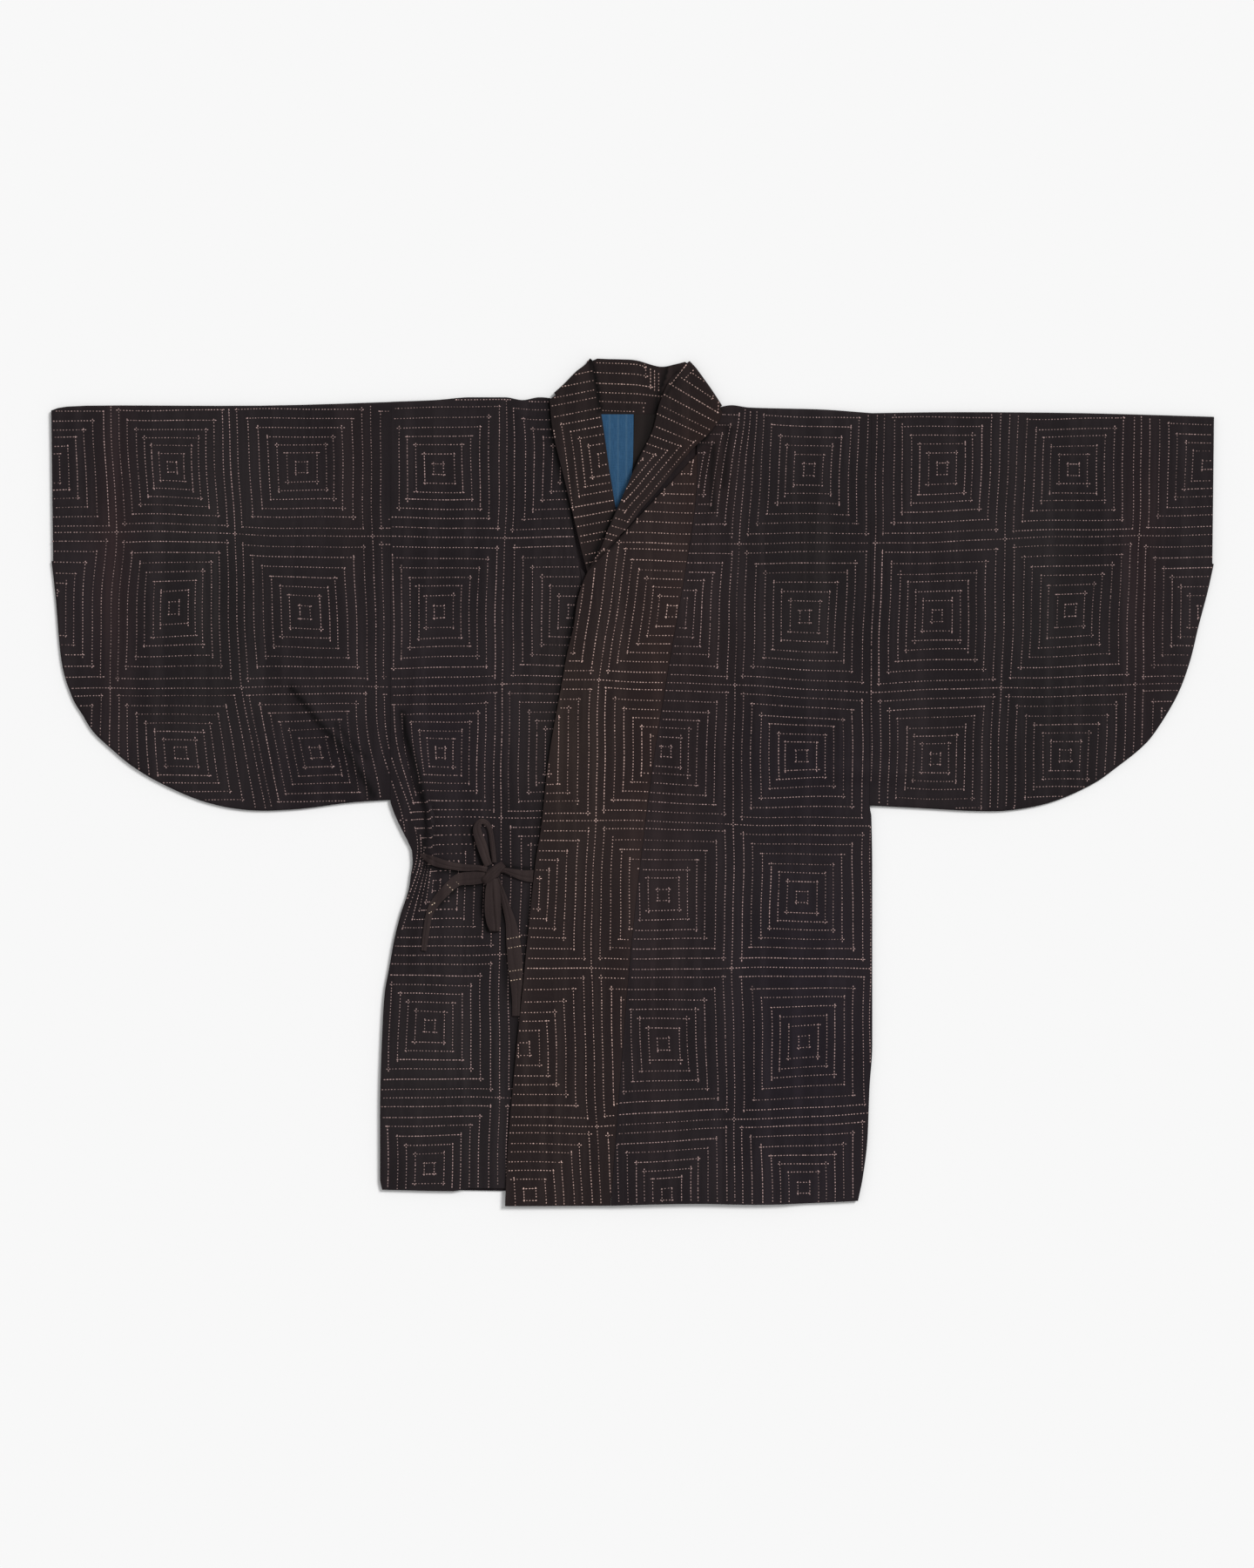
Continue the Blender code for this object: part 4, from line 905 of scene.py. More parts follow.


# Lines on a piece where shade is painted into its colour: the painted shade of a crease, and the painted
# shadow where another piece lies beside it. The last column is given only for a line that darkens nothing on
# its right.
PAINTED_SHADE_LINES = {name: table("half shade line left_only", *rows) for name, rows in {
    "body_right": (
        (3.6, 0.94, ((-247, 74), (-242.8, 50.6), (-235.1, 26.4), (-229.6, 6.6), (-225.2, -13.3),
                     (-224, -24))),
        (3.2, 0.85, ((-222.5, -30), (-222, -55), (-225, -74))),
        (3.6, 0.8, ((-222, -90), (-190, -97), (-165, -98))),
        (3.4, 0.85, ((-160, -108), (-160.5, -135), (-157, -158))),
        (3.0, 0.75, ((-172, -50), (-169, -68), (-162, -86))),
        (3.4, 0.7, ((-168, -111), (-188, -113), (-206, -129))),
        (3.0, 0.7, ((-143, -126), (-137, -152), (-136, -205), (-131, -235))),
        (2.4, 0.7, ((-140, -90), (-122, -92), (-107, -93))),
        (4.0, 0.85, ((-48, 228), (-66, 170), (-87, 50), (-96, -30), (-105, -95), (-112, -160), (-121, -255),
                     (-126, -330))),
        (3.6, 0.85, ((-90, 414), (-87.6, 372), (-74, 317), (-59, 261), (-50, 234))),
    ),
    "sleeve_right": (
        (3.4, 0.9, ((-366, 101), (-337, 65), (-303, 28), (-287, 2), (-279, -14))),
        (3.0, 0.6, ((-318, 62), (-300, 40), (-286, 26))),
    ),
    "body_left": (
        (2.8, 0.8, ((92, 399), (80, 372), (57, 348), (36, 321), (15, 297), (-8, 272))),
        (3.6, 0.65, ((87, 362), (85, 332), (86, 292))),
        (3.8, 0.5, ((104, 380), (100, 350), (98, 318))),
    ),
    "okumi_left": (
        (2.8, 0.8, ((80, 372), (57, 348), (36, 321), (15, 297), (-7, 272), (-24, 251.5))),
        (3.6, 0.65, ((87, 362), (85, 332), (86, 292))),
    ),
    "collar": (
        (2.6, 0.95, ((-45, 454), (-42, 440), (-37.4, 421.4), (-35.5, 398))),
        (4.6, 0.88, ((39.5, 448), (28.7, 412), (23, 387.4), (9.8, 349.7), (-3.4, 327), (-16.6, 293),
                     (-29.8, 265), (-45, 233)), True),
        (1.8, 0.6, ((48, 440), (36, 414))),
    ),
    "lining_blue": (
        (3.4, 0.45, ((0, 349.7), (-8, 322), (-18, 296))),
        (2.6, 0.3, ((-35, 397), (0, 395))),
    ),
    "lining_brown": ((6.0, 0.5, ((25, 397), (21, 384), (8, 349), (0, 331))),),
}.items()}


def painted_shade_light(name, x, y):
    """The part of a piece's colour that is left under the painted shade of its creases and of the pieces
    beside it.
    """
    light = np.ones(np.shape(x))
    for crease in PAINTED_SHADE_LINES.get(name, []):
        line = crease["line"]
        near = np.min([segment_distance(x, y, a, b)[0] for a, b in zip(line, line[1:])], axis=0)
        shade = crease["shade"] * np.exp(-(near / crease["half"]) ** 2)
        if crease.get("left_only"):
            edge = np.interp(-y, [-place[1] for place in line], [place[0] for place in line])
            shade = shade * (x < edge + 0.5)
        light = light * (1.0 - shade)
    return light


# Soft patches of the dye, as how much more red, green or blue it reflects.
DYE_SPOTS = table(
    "x y wide high red green blue", (-190, -330, 90, 130, 0.16, 0.24, 0.18),
    (-450, 190, 60, 150, 0.10, 0.22, 0.12), (440, 170, 60, 150, 0.0, 0.10, 0.04),
    (-556, 250, 22, 170, 0.30, 0.04, 0.0), (546, 240, 24, 170, 0.24, 0.02, 0.0),
    (-300, 330, 24, 120, 0.14, 0.06, 0.0), (185, -270, 80, 200, -0.06, -0.06, 0.16),
    (180, 20, 70, 60, -0.12, -0.14, -0.02), (190, 230, 50, 90, 0.08, 0.16, 0.06),
    (84, 350, 36, 60, 0.28, 0.08, -0.04), (60, 150, 60, 130, 0.18, 0.06, 0.0),
    (40, -60, 50, 150, 0.14, 0.04, 0.0), (22, -260, 30, 200, 0.10, 0.02, 0.0),
    (-70, 60, 44, 150, 0.26, 0.26, 0.12), (-200, 60, 50, 90, -0.10, -0.14, -0.04),
    (-340, 20, 70, 50, -0.14, -0.16, -0.08),
)

# Where the thread has faded more or less than elsewhere.
THREAD_SPOTS = table(
    "x y wide high tone", (170, -300, 160, 200, 0.2), (-200, -300, 100, 180, 0.25),
    (-20, 60, 70, 200, 0.12), (440, 180, 160, 200, -0.1), (-440, 180, 160, 120, -0.05),
    (-360, 20, 90, 60, -0.2), (190, 330, 120, 60, -0.05),
)


def soft_spots(spots, x, y, value):
    """The sum of soft round spots from a table."""
    total = np.zeros(np.shape(x))
    for spot in spots:
        total = total + spot[value] * spot_fade(spot, x, y)
    return total


# A grain of thread: a tip, two rings of three points, and the other tip.
GRAIN_FACES = (
    (0, 2, 1), (0, 3, 2), (0, 1, 3), (1, 2, 5), (1, 5, 4), (2, 3, 6), (2, 6, 5), (3, 1, 4), (3, 4, 6),
    (7, 4, 5), (7, 5, 6), (7, 6, 4),
)


def stitches_on(name, sewn, level, material, random):
    """Running stitches as small grains of thread that lie on a height field of the cloth."""
    count = len(sewn["x"])
    width = STITCH_WIDTH * random.uniform(0.85, 1.15, count)
    along_x, along_y = np.cos(sewn["heading"]), np.sin(sewn["heading"])
    tips = ((0.0, -0.1),)
    belly = ((-0.5, -0.12), (0.0, 1.0), (0.5, -0.12))
    points = []
    for end, ring in ((-0.5, tips), (-0.26, belly), (0.26, belly), (0.5, tips)):
        centre_x = sewn["x"] + along_x * end * sewn["length"]
        centre_y = sewn["y"] + along_y * end * sewn["length"]
        for side, height in ring:
            x = centre_x - along_y * side * width
            y = centre_y + along_x * side * width
            points.append(places(x, y, level(x, y) + height * STITCH_HEIGHT))
    points = np.stack(points, axis=1)
    size = points.shape[1]
    faces = (np.arange(count)[:, None, None] * size + np.array(GRAIN_FACES)[None]).reshape(-1, 3)
    obj = make_mesh(name, points.reshape(-1, 3), faces, material)
    tone = np.clip(sewn["tone"] + soft_spots(THREAD_SPOTS, sewn["x"], sewn["y"], "tone"), 0.0, 1.0)
    # Painted shade: stitches in the creases and beside other pieces are darkened like the cloth.
    tone = tone * painted_shade_light(name.partition("_stitches")[0], sewn["x"], sewn["y"])
    values = obj.data.attributes.new("tone", "FLOAT", "POINT")
    values.data.foreach_set("value", np.repeat(tone, size).astype(np.float32))
    return obj


def square_lines(cells_p, cells_q, random):
    """All lines of the pattern over a range of squares, as ends in pattern units."""
    lines = []
    for p in range(*cells_p):
        for q in range(*cells_q):
            cp, cq = np.array([p, q]) + 0.5 + random.normal(0.0, 0.006, 2)
            lines.append((p, q, p, q + 1))
            lines.append((p, q, p + 1, q))
            for half in RING_HALVES:
                over = CORNER_OVER / 150 * random.uniform(0.5, 1.2, 8) * (0.75 if half < 0.1 else 1.0)
                stray = random.normal(0.0, LINE_WANDER / 150, 8)
                for number, side in enumerate((-1, 1)):
                    a, b, c, d = 4 * number + np.arange(4)
                    level, upright = cq + (side * half + stray[a]), cp + (side * half + stray[c])
                    lines.append((cp - half - over[a], level, cp + half + over[b], level + stray[b] / 2))
                    lines.append((upright, cq - half - over[c], upright + stray[d] / 2, cq + half + over[d]))
    return lines


def stitch_places(lines, place, random):
    """Middle, heading, length and tone of each stitch along straight lines, laid on the cloth by place."""
    parts = {"x": [], "y": [], "heading": [], "length": [], "tone": []}
    for ap, aq, bp, bq in lines:
        ends = place(np.array([ap, bp]), np.array([aq, bq]))
        length = math.hypot(ends[0][1] - ends[0][0], ends[1][1] - ends[1][0])
        count = max(2, int(round(length / STITCH_PITCH)))
        t = (np.arange(count) + 0.5 + random.normal(0.0, 0.07, count)) / count
        step = 0.3 / count
        low = place(ap + (bp - ap) * (t - step), aq + (bq - aq) * (t - step))
        high = place(ap + (bp - ap) * (t + step), aq + (bq - aq) * (t + step))
        stretch = random.choice((1.0, 1.0, 0.92, 1.08, 1.35))
        parts["x"].append((low[0] + high[0]) / 2)
        parts["y"].append((low[1] + high[1]) / 2)
        parts["heading"].append(np.arctan2(high[1] - low[1], high[0] - low[0]))
        parts["length"].append(STITCH_LENGTH * stretch * random.uniform(0.85, 1.12, count))
        tone = random.normal(0.45, 0.14) + random.normal(0.0, 0.2, count)
        tone[[0, -1]] += CORNER_TONE
        parts["tone"].append(tone)
    return {name: np.concatenate(values) for name, values in parts.items()}


def take(sewn, chosen):
    return {name: values[chosen] for name, values in sewn.items()}


def cloth_place(grid):
    def place(p, q):
        return draw_in(*from_cells(grid, np.asarray(p, float), np.asarray(q, float)))
    return place


def inside_polygon(x, y, corners):
    inside = np.zeros(np.shape(x), bool)
    for (ax, ay), (bx, by) in zip(corners, corners[1:] + corners[:1]):
        if ay == by:
            continue
        crosses = (ay > y) != (by > y)
        inside ^= crosses & (x < (bx - ax) * (y - ay) / (by - ay) + ax)
    return inside


LEFT_BAND = [COLLAR_FOLD_LEFT] + COLLAR_LEFT_BRANCH
RIGHT_BAND = [COLLAR_FOLD_RIGHT] + COLLAR_RIGHT_BRANCH[::-1]


def collar_outline(rows, margin):
    seam = [(row["seam_x"], row["seam_y"]) for row in rows]
    free = [(row["free_x"], row["free_y"]) for row in rows]
    corners = np.array(seam + free[::-1], float)
    centre = corners.mean(axis=0)
    grown = corners + margin * (corners - centre) / np.linalg.norm(corners - centre, axis=1)[:, None]
    return [tuple(corner) for corner in grown]


# How far stitches stay off an edge or a seam, off a fold, and off the left front's free edge; the top of
# that edge, and where the right front's stitches end above it.
EDGE_MARGIN = 1.4
SHOULDER_MARGIN = 2.1
OVERLAP_MARGIN = 2
OVERLAP_TOP = 231
NECK_EDGE_X = -30


def sew(name, grid, cells_p, cells_q, shows, level, material, number):
    """Stitch a piece of cloth with the squares, where shows(x, y) says that it is."""
    random = np.random.default_rng(SEED + number)
    sewn = stitch_places(square_lines(cells_p, cells_q, random), cloth_place(grid), random)
    return stitches_on(name, take(sewn, shows(sewn["x"], sewn["y"])), level, material, random)


def under_left_branch(x, y):
    return inside_polygon(x, y, collar_outline(LEFT_BAND, 1.0))


def under_right_branch(x, y):
    return inside_polygon(x, y, collar_outline(RIGHT_BAND, 1.0))


def on_right_front(x, y):
    side = read(SIDE_RIGHT, "y", y, "x") + EDGE_MARGIN
    top = read(SHOULDER_RIGHT, "x", x, "y") - SHOULDER_MARGIN
    bottom = read(HEM_RIGHT, "x", x, "y") + EDGE_MARGIN
    hidden = np.where(y < OVERLAP_TOP, read(FREE_EDGE_LEFT, "y", y, "x") + OVERLAP_MARGIN, NECK_EDGE_X)
    inner = np.minimum(okumi_seam_x(y, -1) - EDGE_MARGIN, hidden)
    covered = under_left_branch(x, y) | under_right_branch(x, y)
    return (x > side) & (x < inner) & (y < top) & (y > bottom) & ~covered


def on_left_front(x, y):
    side = read(SIDE_LEFT, "y", y, "x") - EDGE_MARGIN
    top = read(SHOULDER_LEFT, "x", x, "y") - SHOULDER_MARGIN
    bottom = read(HEM_LEFT, "x", x, "y") + EDGE_MARGIN
    inner = okumi_seam_x(y, 1) + EDGE_MARGIN
    return (x < side) & (x > inner) & (y < top) & (y > bottom) & ~under_left_branch(x, y)


def on_okumi(x, y):
    bottom = read(HEM_LEFT, "x", x, "y") + EDGE_MARGIN
    inner = okumi_seam_x(y, 1) - EDGE_MARGIN
    edge = read(FREE_EDGE_LEFT, "y", y, "x") + EDGE_MARGIN
    (low_x, low_y), (high_x, high_y) = OKUMI_NECKLINE
    neckline = y < low_y + (x - low_x) * (high_y - low_y) / (high_x - low_x)
    return (x > edge) & (x < inner) & (y > bottom) & neckline & ~under_left_branch(x, y)


def on_sleeve(sleeve):
    """Whether a place lies inside the sleeve's outline, clear of its folds and seams."""
    outward = math.copysign(1.0, sleeve["cuff"]["x"])
    bag_x, bag_y = sleeve["bag"]["x"], sleeve["bag"]["y"]
    normal_x, normal_y = bag_normal(sleeve, np.linspace(0, 1, len(bag_x)))
    rim = [(px - nx * SHOULDER_MARGIN, py - ny * SHOULDER_MARGIN)
           for px, py, nx, ny in zip(bag_x, bag_y, normal_x, normal_y)]
    top = [(px, py - SHOULDER_MARGIN) for px, py in zip(sleeve["top"]["x"], sleeve["top"]["y"])]
    corners = rim + top[::-1]

    def shows(x, y):
        seam = outward * read(sleeve["side"], "y", y, "x") + EDGE_MARGIN
        cuff = outward * sleeve["cuff"]["x"] - EDGE_MARGIN
        return inside_polygon(x, y, corners) & (outward * x > seam) & (outward * x < cuff)
    return shows


# The collar's squares. On the left branch their legs run along the seam and their rows lean as the band
# turns; on the back they are long rows, each with its end and the height of the leg that turns off it.
RIGHT_BRANCH_SQUARE = {"x": -31.4, "y": 345.3, "along": (0.14, -0.99), "across": (-0.98, -0.19),
                       "long": 152, "wide": 133}
LEFT_BRANCH_SQUARE = {"y": 320.6, "depth": 50, "long": 152, "wide": 125}
LEFT_BRANCH_SLANT = table(
    "y slant", (452, 42), (400, 32), (372, 25), (345, 18.5), (300, 17), (236, 14),
)
COLLAR_BACK_HEIGHT = 59.5
COLLAR_BACK_ROWS = table(
    "depth end leg", (4.8, 12.4, 10), (15.3, 13.6, 12), (26.7, 18.7, 22), (36.3, 46, 0),
    (45.8, 11.5, -15), (55.4, -1, 0), (28, 23, 22), (28, 27.5, 20),
)
COLLAR_BACK_START = -60


def right_branch_place(p, q):
    square = RIGHT_BRANCH_SQUARE
    a, b = (p - 0.5) * square["wide"], (q - 0.5) * square["long"]
    x = square["x"] + a * square["across"][0] + b * square["along"][0]
    y = square["y"] + a * square["across"][1] + b * square["along"][1]
    stray_x, stray_y = wander(x, y)
    return x + 0.6 * stray_x, y + 0.6 * stray_y


def left_branch_place(p, q):
    square = LEFT_BRANCH_SQUARE
    seam = resample(LEFT_BAND, 120)
    along = measured(seam["seam_x"], seam["seam_y"])
    middle = np.interp(-square["y"], -seam["seam_y"], along)
    at = middle + (q - 0.5) * square["long"]
    before, beyond = np.minimum(at, 0.0), np.maximum(at - along[-1], 0.0)
    x = np.interp(at, along, seam["seam_x"]) - 0.55 * before - 0.6 * beyond
    y = np.interp(at, along, seam["seam_y"]) - 0.8 * before - 0.8 * beyond
    slant = np.radians(read(LEFT_BRANCH_SLANT, "y", y, "slant"))
    depth = square["depth"] - (p - 0.5) * square["wide"]
    stray_x, stray_y = wander(x, y)
    return x - np.cos(slant) * depth + 0.5 * stray_x, y + np.sin(slant) * depth + 0.5 * stray_y


def back_place(x, depth):
    top = np.interp(x, [row["free_x"] for row in COLLAR_BACK], [row["free_y"] for row in COLLAR_BACK])
    bottom = np.interp(x, [row["seam_x"] for row in COLLAR_BACK], [row["seam_y"] for row in COLLAR_BACK])
    stray_x, stray_y = wander(x, depth)
    y = top - (top - bottom) * depth / COLLAR_BACK_HEIGHT
    return x + 0.4 * stray_x, y + 0.5 * stray_y


def past_tip_legs(x, y):
    """Where the rows of the left branch have ended at the two legs near its tip."""
    first = (y > 427.2) & (x < 41.0 + (y - 426.5) * (58.0 - 41.0) / (448.0 - 426.5) + 1.0)
    second = (y > 433.5) & (x < 56.1 + (y - 432.5) + 1.0)
    return first | second


COLLAR_TIP_LINES = [(41.0, 426.5, 58.0, 448.0), (56.1, 432.5, 65.5, 442.0)]


def back_lines():
    lines = []
    for row in COLLAR_BACK_ROWS:
        if row["leg"] <= 0 or row["end"] < 20:
            lines.append((COLLAR_BACK_START, row["depth"], row["end"] + CORNER_OVER, row["depth"]))
        if row["leg"]:
            lines.append((row["end"], row["depth"] + CORNER_OVER, row["end"], row["depth"] - row["leg"]))
    return lines


def sew_collar(material):
    """Stitch the three parts of the band."""
    random = np.random.default_rng(SEED + COLLAR_DRAWS)
    squares = square_lines((0, 1), (-1, 3), random)
    parts = [
        {"name": "right", "lines": squares, "place": right_branch_place, "level": right_branch_z,
         "outline": collar_outline(RIGHT_BAND, -EDGE_MARGIN)},
        {"name": "back", "lines": back_lines(), "place": back_place, "level": lambda x, y: 0.0 * x,
         "outline": collar_outline(COLLAR_BACK, -EDGE_MARGIN)},
        {"name": "left", "lines": squares, "place": left_branch_place, "level": left_branch_z,
         "outline": collar_outline(LEFT_BAND, -EDGE_MARGIN)},
        {"name": "left_tip", "lines": COLLAR_TIP_LINES, "place": stay, "level": left_branch_z,
         "outline": collar_outline(LEFT_BAND, -0.6)},
    ]
    pieces = []
    for part in parts:
        sewn = stitch_places(part["lines"], part["place"], random)
        inside = inside_polygon(sewn["x"], sewn["y"], part["outline"])
        if part["name"] == "left":
            inside &= ~past_tip_legs(sewn["x"], sewn["y"])
        shown = take(sewn, inside)
        pieces.append(stitches_on("collar_stitches_" + part["name"], shown,
                                  lambda x, y, level=part["level"]: level(x, y) + COLLAR_WALL,
                                  material, random))
    return pieces


def node(tree, kind, **values):
    made = tree.nodes.new(kind)
    for name, value in values.items():
        setattr(made, name, value)
    return made


def math_node(tree, operation, a, b=None):
    made = node(tree, "ShaderNodeMath", operation=operation)
    for index, value in enumerate((a, b)):
        if value is None:
            continue
        if isinstance(value, (int, float)):
            made.inputs[index].default_value = value
        else:
            tree.links.new(value, made.inputs[index])
    return made.outputs[0]


def mix_colour(tree, factor, a, b):
    made = node(tree, "ShaderNodeMix", data_type="RGBA")
    for index, value in ((0, factor), (6, a), (7, b)):
        if isinstance(value, (int, float)):
            made.inputs[index].default_value = value
        elif isinstance(value, tuple):
            made.inputs[index].default_value = (*value, 1.0)
        else:
            tree.links.new(value, made.inputs[index])
    return made.outputs[2]


def axes(tree, vector):
    """The three parts of a vector."""
    made = node(tree, "ShaderNodeSeparateXYZ")
    tree.links.new(vector, made.inputs[0])
    return made.outputs


def noise(tree, vector, scale, detail):
    made = node(tree, "ShaderNodeTexNoise")
    made.inputs["Scale"].default_value = scale
    made.inputs["Detail"].default_value = detail
    made.inputs["Roughness"].default_value = 0.55
    tree.links.new(vector, made.inputs["Vector"])
    return made.outputs["Fac"]


def ramp(tree, value, low, high):
    made = node(tree, "ShaderNodeMapRange", clamp=True, interpolation_type="SMOOTHSTEP")
    tree.links.new(value, made.inputs["Value"])
    made.inputs["From Min"].default_value = low
    made.inputs["From Max"].default_value = high
    return made.outputs["Result"]


def scaled(tree, vector, factors):
    made = node(tree, "ShaderNodeMapping")
    made.inputs["Scale"].default_value = factors
    tree.links.new(vector, made.inputs["Vector"])
    return made.outputs["Vector"]


def new_material(name, roughness, specular, sheen, sheen_tint):
    material = bpy.data.materials.new(name)
    material.use_nodes = True
    tree = material.node_tree
    shader = tree.nodes["Principled BSDF"]
    shader.inputs["Roughness"].default_value = roughness
    shader.inputs["Specular IOR Level"].default_value = specular
    shader.inputs["Sheen Weight"].default_value = sheen
    shader.inputs["Sheen Roughness"].default_value = 0.6
    shader.inputs["Sheen Tint"].default_value = (*sheen_tint, 1.0)
    return material, tree, shader


def weave_height(tree, vector, thread):
    """Plain weave: threads over and under each other, one thread apart both ways."""
    turns = 2 * math.pi / (2 * thread * MM)
    across, along = (math_node(tree, "SINE", math_node(tree, "MULTIPLY", axis, turns))
                     for axis in axes(tree, vector)[:2])
    return math_node(tree, "MULTIPLY", across, along)


# Half the width of a line of stitches, as a part of the space between two lines.
LINE_HALF_WIDTH = 0.055


def from_lines(tree):
    """How far a place is from its square's two middle lines, and from the nearest line of stitches."""
    uv = node(tree, "ShaderNodeUVMap", uv_map="pattern").outputs[0]
    from_middle = []
    for axis in axes(tree, uv)[:2]:
        part = math_node(tree, "FRACT", axis)
        from_middle.append(math_node(tree, "ABSOLUTE", math_node(tree, "SUBTRACT", part, 0.5)))
    ring = math_node(tree, "MULTIPLY", math_node(tree, "MAXIMUM", *from_middle), 2 * RINGS)
    return from_middle, math_node(tree, "PINGPONG", ring, 0.5)


def furrow_height(tree, from_line):
    """The cloth between the stitch lines stands a little proud: 1 between them, 0 at a line."""
    return math_node(tree, "POWER", math_node(tree, "MULTIPLY", from_line, 2.0), 0.45)


def underside_stitches(tree, from_middle, from_line):
    """1 on the stitches of the squares where the cloth faces down, and 0 elsewhere."""
    on_line = math_node(tree, "LESS_THAN", from_line, LINE_HALF_WIDTH)
    along = math_node(tree, "MULTIPLY", math_node(tree, "MINIMUM", *from_middle), CELL_WIDTH / STITCH_PITCH)
    dash = math_node(tree, "LESS_THAN", math_node(tree, "FRACT", along), STITCH_LENGTH / STITCH_PITCH)
    facing = axes(tree, node(tree, "ShaderNodeNewGeometry").outputs["Normal"])
    down = math_node(tree, "LESS_THAN", facing[2], -0.5)
    return math_node(tree, "MULTIPLY", math_node(tree, "MULTIPLY", on_line, dash), down)


def clothe(tree, shader, colour, height, strength, depth):
    """Link a colour to the shader, and a height, of which 1 stands for depth millimetres, as a bump."""
    tree.links.new(colour, shader.inputs["Base Color"])
    raised = node(tree, "ShaderNodeBump")
    raised.inputs["Strength"].default_value = strength
    raised.inputs["Distance"].default_value = depth * MM
    tree.links.new(height, raised.inputs["Height"])
    tree.links.new(raised.outputs[0], shader.inputs["Normal"])


THREAD_WIDTH = 0.55
UNDERSIDE_THREAD = (0.20, 0.135, 0.125)


def cotton(name, dark, light, streak, bump=0.35, furrows=True):
    """Woven cotton: dyed colour that varies in patches and warp streaks, slubs, weave, painted shade in the
    creases, and stitch furrows with painted shade along them.
    """
    material, tree, shader = new_material(name, 0.88, 0.12, 0.06, streak)
    place = node(tree, "ShaderNodeTexCoord").outputs["Object"]
    patches = ramp(tree, noise(tree, place, 5.5, 4.0), 0.35, 0.68)
    warp = ramp(tree, noise(tree, scaled(tree, place, (60.0, 3.0, 1.0)), 1.0, 3.0), 0.42, 0.7)
    slubs = ramp(tree, noise(tree, scaled(tree, place, (900.0, 260.0, 1.0)), 1.0, 2.0), 0.5, 0.78)
    colour = mix_colour(tree, patches, dark, light)
    colour = mix_colour(tree, math_node(tree, "MULTIPLY", warp, 0.5), colour, streak)
    colour = mix_colour(tree, math_node(tree, "MULTIPLY", slubs, 0.35), colour, streak)
    # The colour attribute holds the soft dyed patches and the painted shade of the creases.
    dye_and_painted_shade = node(tree, "ShaderNodeAttribute", attribute_name="dye_and_painted_shade").outputs["Color"]
    dyed_and_shaded = node(tree, "ShaderNodeMix", data_type="RGBA", blend_type="MULTIPLY")
    dyed_and_shaded.inputs[0].default_value = 1.0
    tree.links.new(colour, dyed_and_shaded.inputs[6])
    tree.links.new(dye_and_painted_shade, dyed_and_shaded.inputs[7])
    colour = dyed_and_shaded.outputs[2]
    weave = weave_height(tree, place, THREAD_WIDTH)
    height = math_node(tree, "MULTIPLY", weave, 0.09)
    height = math_node(tree, "ADD", height, math_node(tree, "MULTIPLY", slubs, 0.12))
    if furrows:
        from_middle, from_line = from_lines(tree)
        furrow = furrow_height(tree, from_line)
        height = math_node(tree, "ADD", height, math_node(tree, "MULTIPLY", furrow, 0.55))
        # Painted shade: the cloth is darkened towards the stitch lines, where the furrows lie.
        shade = math_node(tree, "MULTIPLY", math_node(tree, "SUBTRACT", 1.0, furrow), 0.3)
        colour = mix_colour(tree, shade, colour, dark)
        underside = underside_stitches(tree, from_middle, from_line)
        colour = mix_colour(tree, underside, colour, UNDERSIDE_THREAD)
    roughness = math_node(tree, "ADD", 0.8, math_node(tree, "MULTIPLY", slubs, 0.12))
    tree.links.new(roughness, shader.inputs["Roughness"])
    clothe(tree, shader, colour, height, bump, 1.0)
    return material


STRIPE_WIDTH = 9.0


def striped_lining(name):
    """Blue cotton with fine paler warp stripes."""
    material, tree, shader = new_material(name, 0.85, 0.15, 0.05, (0.5, 0.6, 0.7))
    place = node(tree, "ShaderNodeTexCoord").outputs["Object"]
    turns = 2 * math.pi / (STRIPE_WIDTH * MM)
    wave = math_node(tree, "SINE", math_node(tree, "MULTIPLY", axes(tree, place)[0], turns))
    stripe = ramp(tree, wave, 0.55, 0.98)
    thread = ramp(tree, noise(tree, scaled(tree, place, (1400.0, 90.0, 1.0)), 1.0, 2.0), 0.4, 0.7)
    cross = ramp(tree, noise(tree, scaled(tree, place, (120.0, 1300.0, 1.0)), 1.0, 2.0), 0.42, 0.75)
    colour = mix_colour(tree, thread, (0.021, 0.072, 0.150), (0.030, 0.094, 0.186))
    colour = mix_colour(tree, math_node(tree, "MULTIPLY", stripe, 0.3), colour, (0.075, 0.145, 0.215))
    colour = mix_colour(tree, math_node(tree, "MULTIPLY", cross, 0.25), colour, (0.014, 0.052, 0.11))
    clothe(tree, shader, colour, math_node(tree, "ADD", thread, cross), 0.25, 0.6)
    return material


def thread_material(name, dark, light):
    """Sewing thread, each stitch with its own tone, darkened by painted shade in the creases, and fibres
    across it.
    """
    material, tree, shader = new_material(name, 0.75, 0.2, 0.1, (0.6, 0.5, 0.45))
    place = node(tree, "ShaderNodeTexCoord").outputs["Object"]
    # The tone attribute holds each stitch's own tone times its painted shade.
    tone = node(tree, "ShaderNodeAttribute", attribute_name="tone").outputs["Fac"]
    fibres = ramp(tree, noise(tree, place, 900.0, 2.0), 0.3, 0.75)
    colour = mix_colour(tree, tone, dark, light)
    colour = mix_colour(tree, math_node(tree, "MULTIPLY", fibres, 0.25), colour, dark)
    tree.links.new(colour, shader.inputs["Base Color"])
    return material


# The surface's size and how far it lies below the cloth, in metres, and how much light it reflects.
FLOOR_SIZE = 12.0
FLOOR_DROP = 0.0004
FLOOR_WHITE = 0.93

# The even light from all round, and a soft key light from one side: its strength, spread and tilt.
SKY_STRENGTH = 0.5
KEY_STRENGTH = 2.3
KEY_SPREAD = 20
KEY_TILT = (-28, 38, 0)


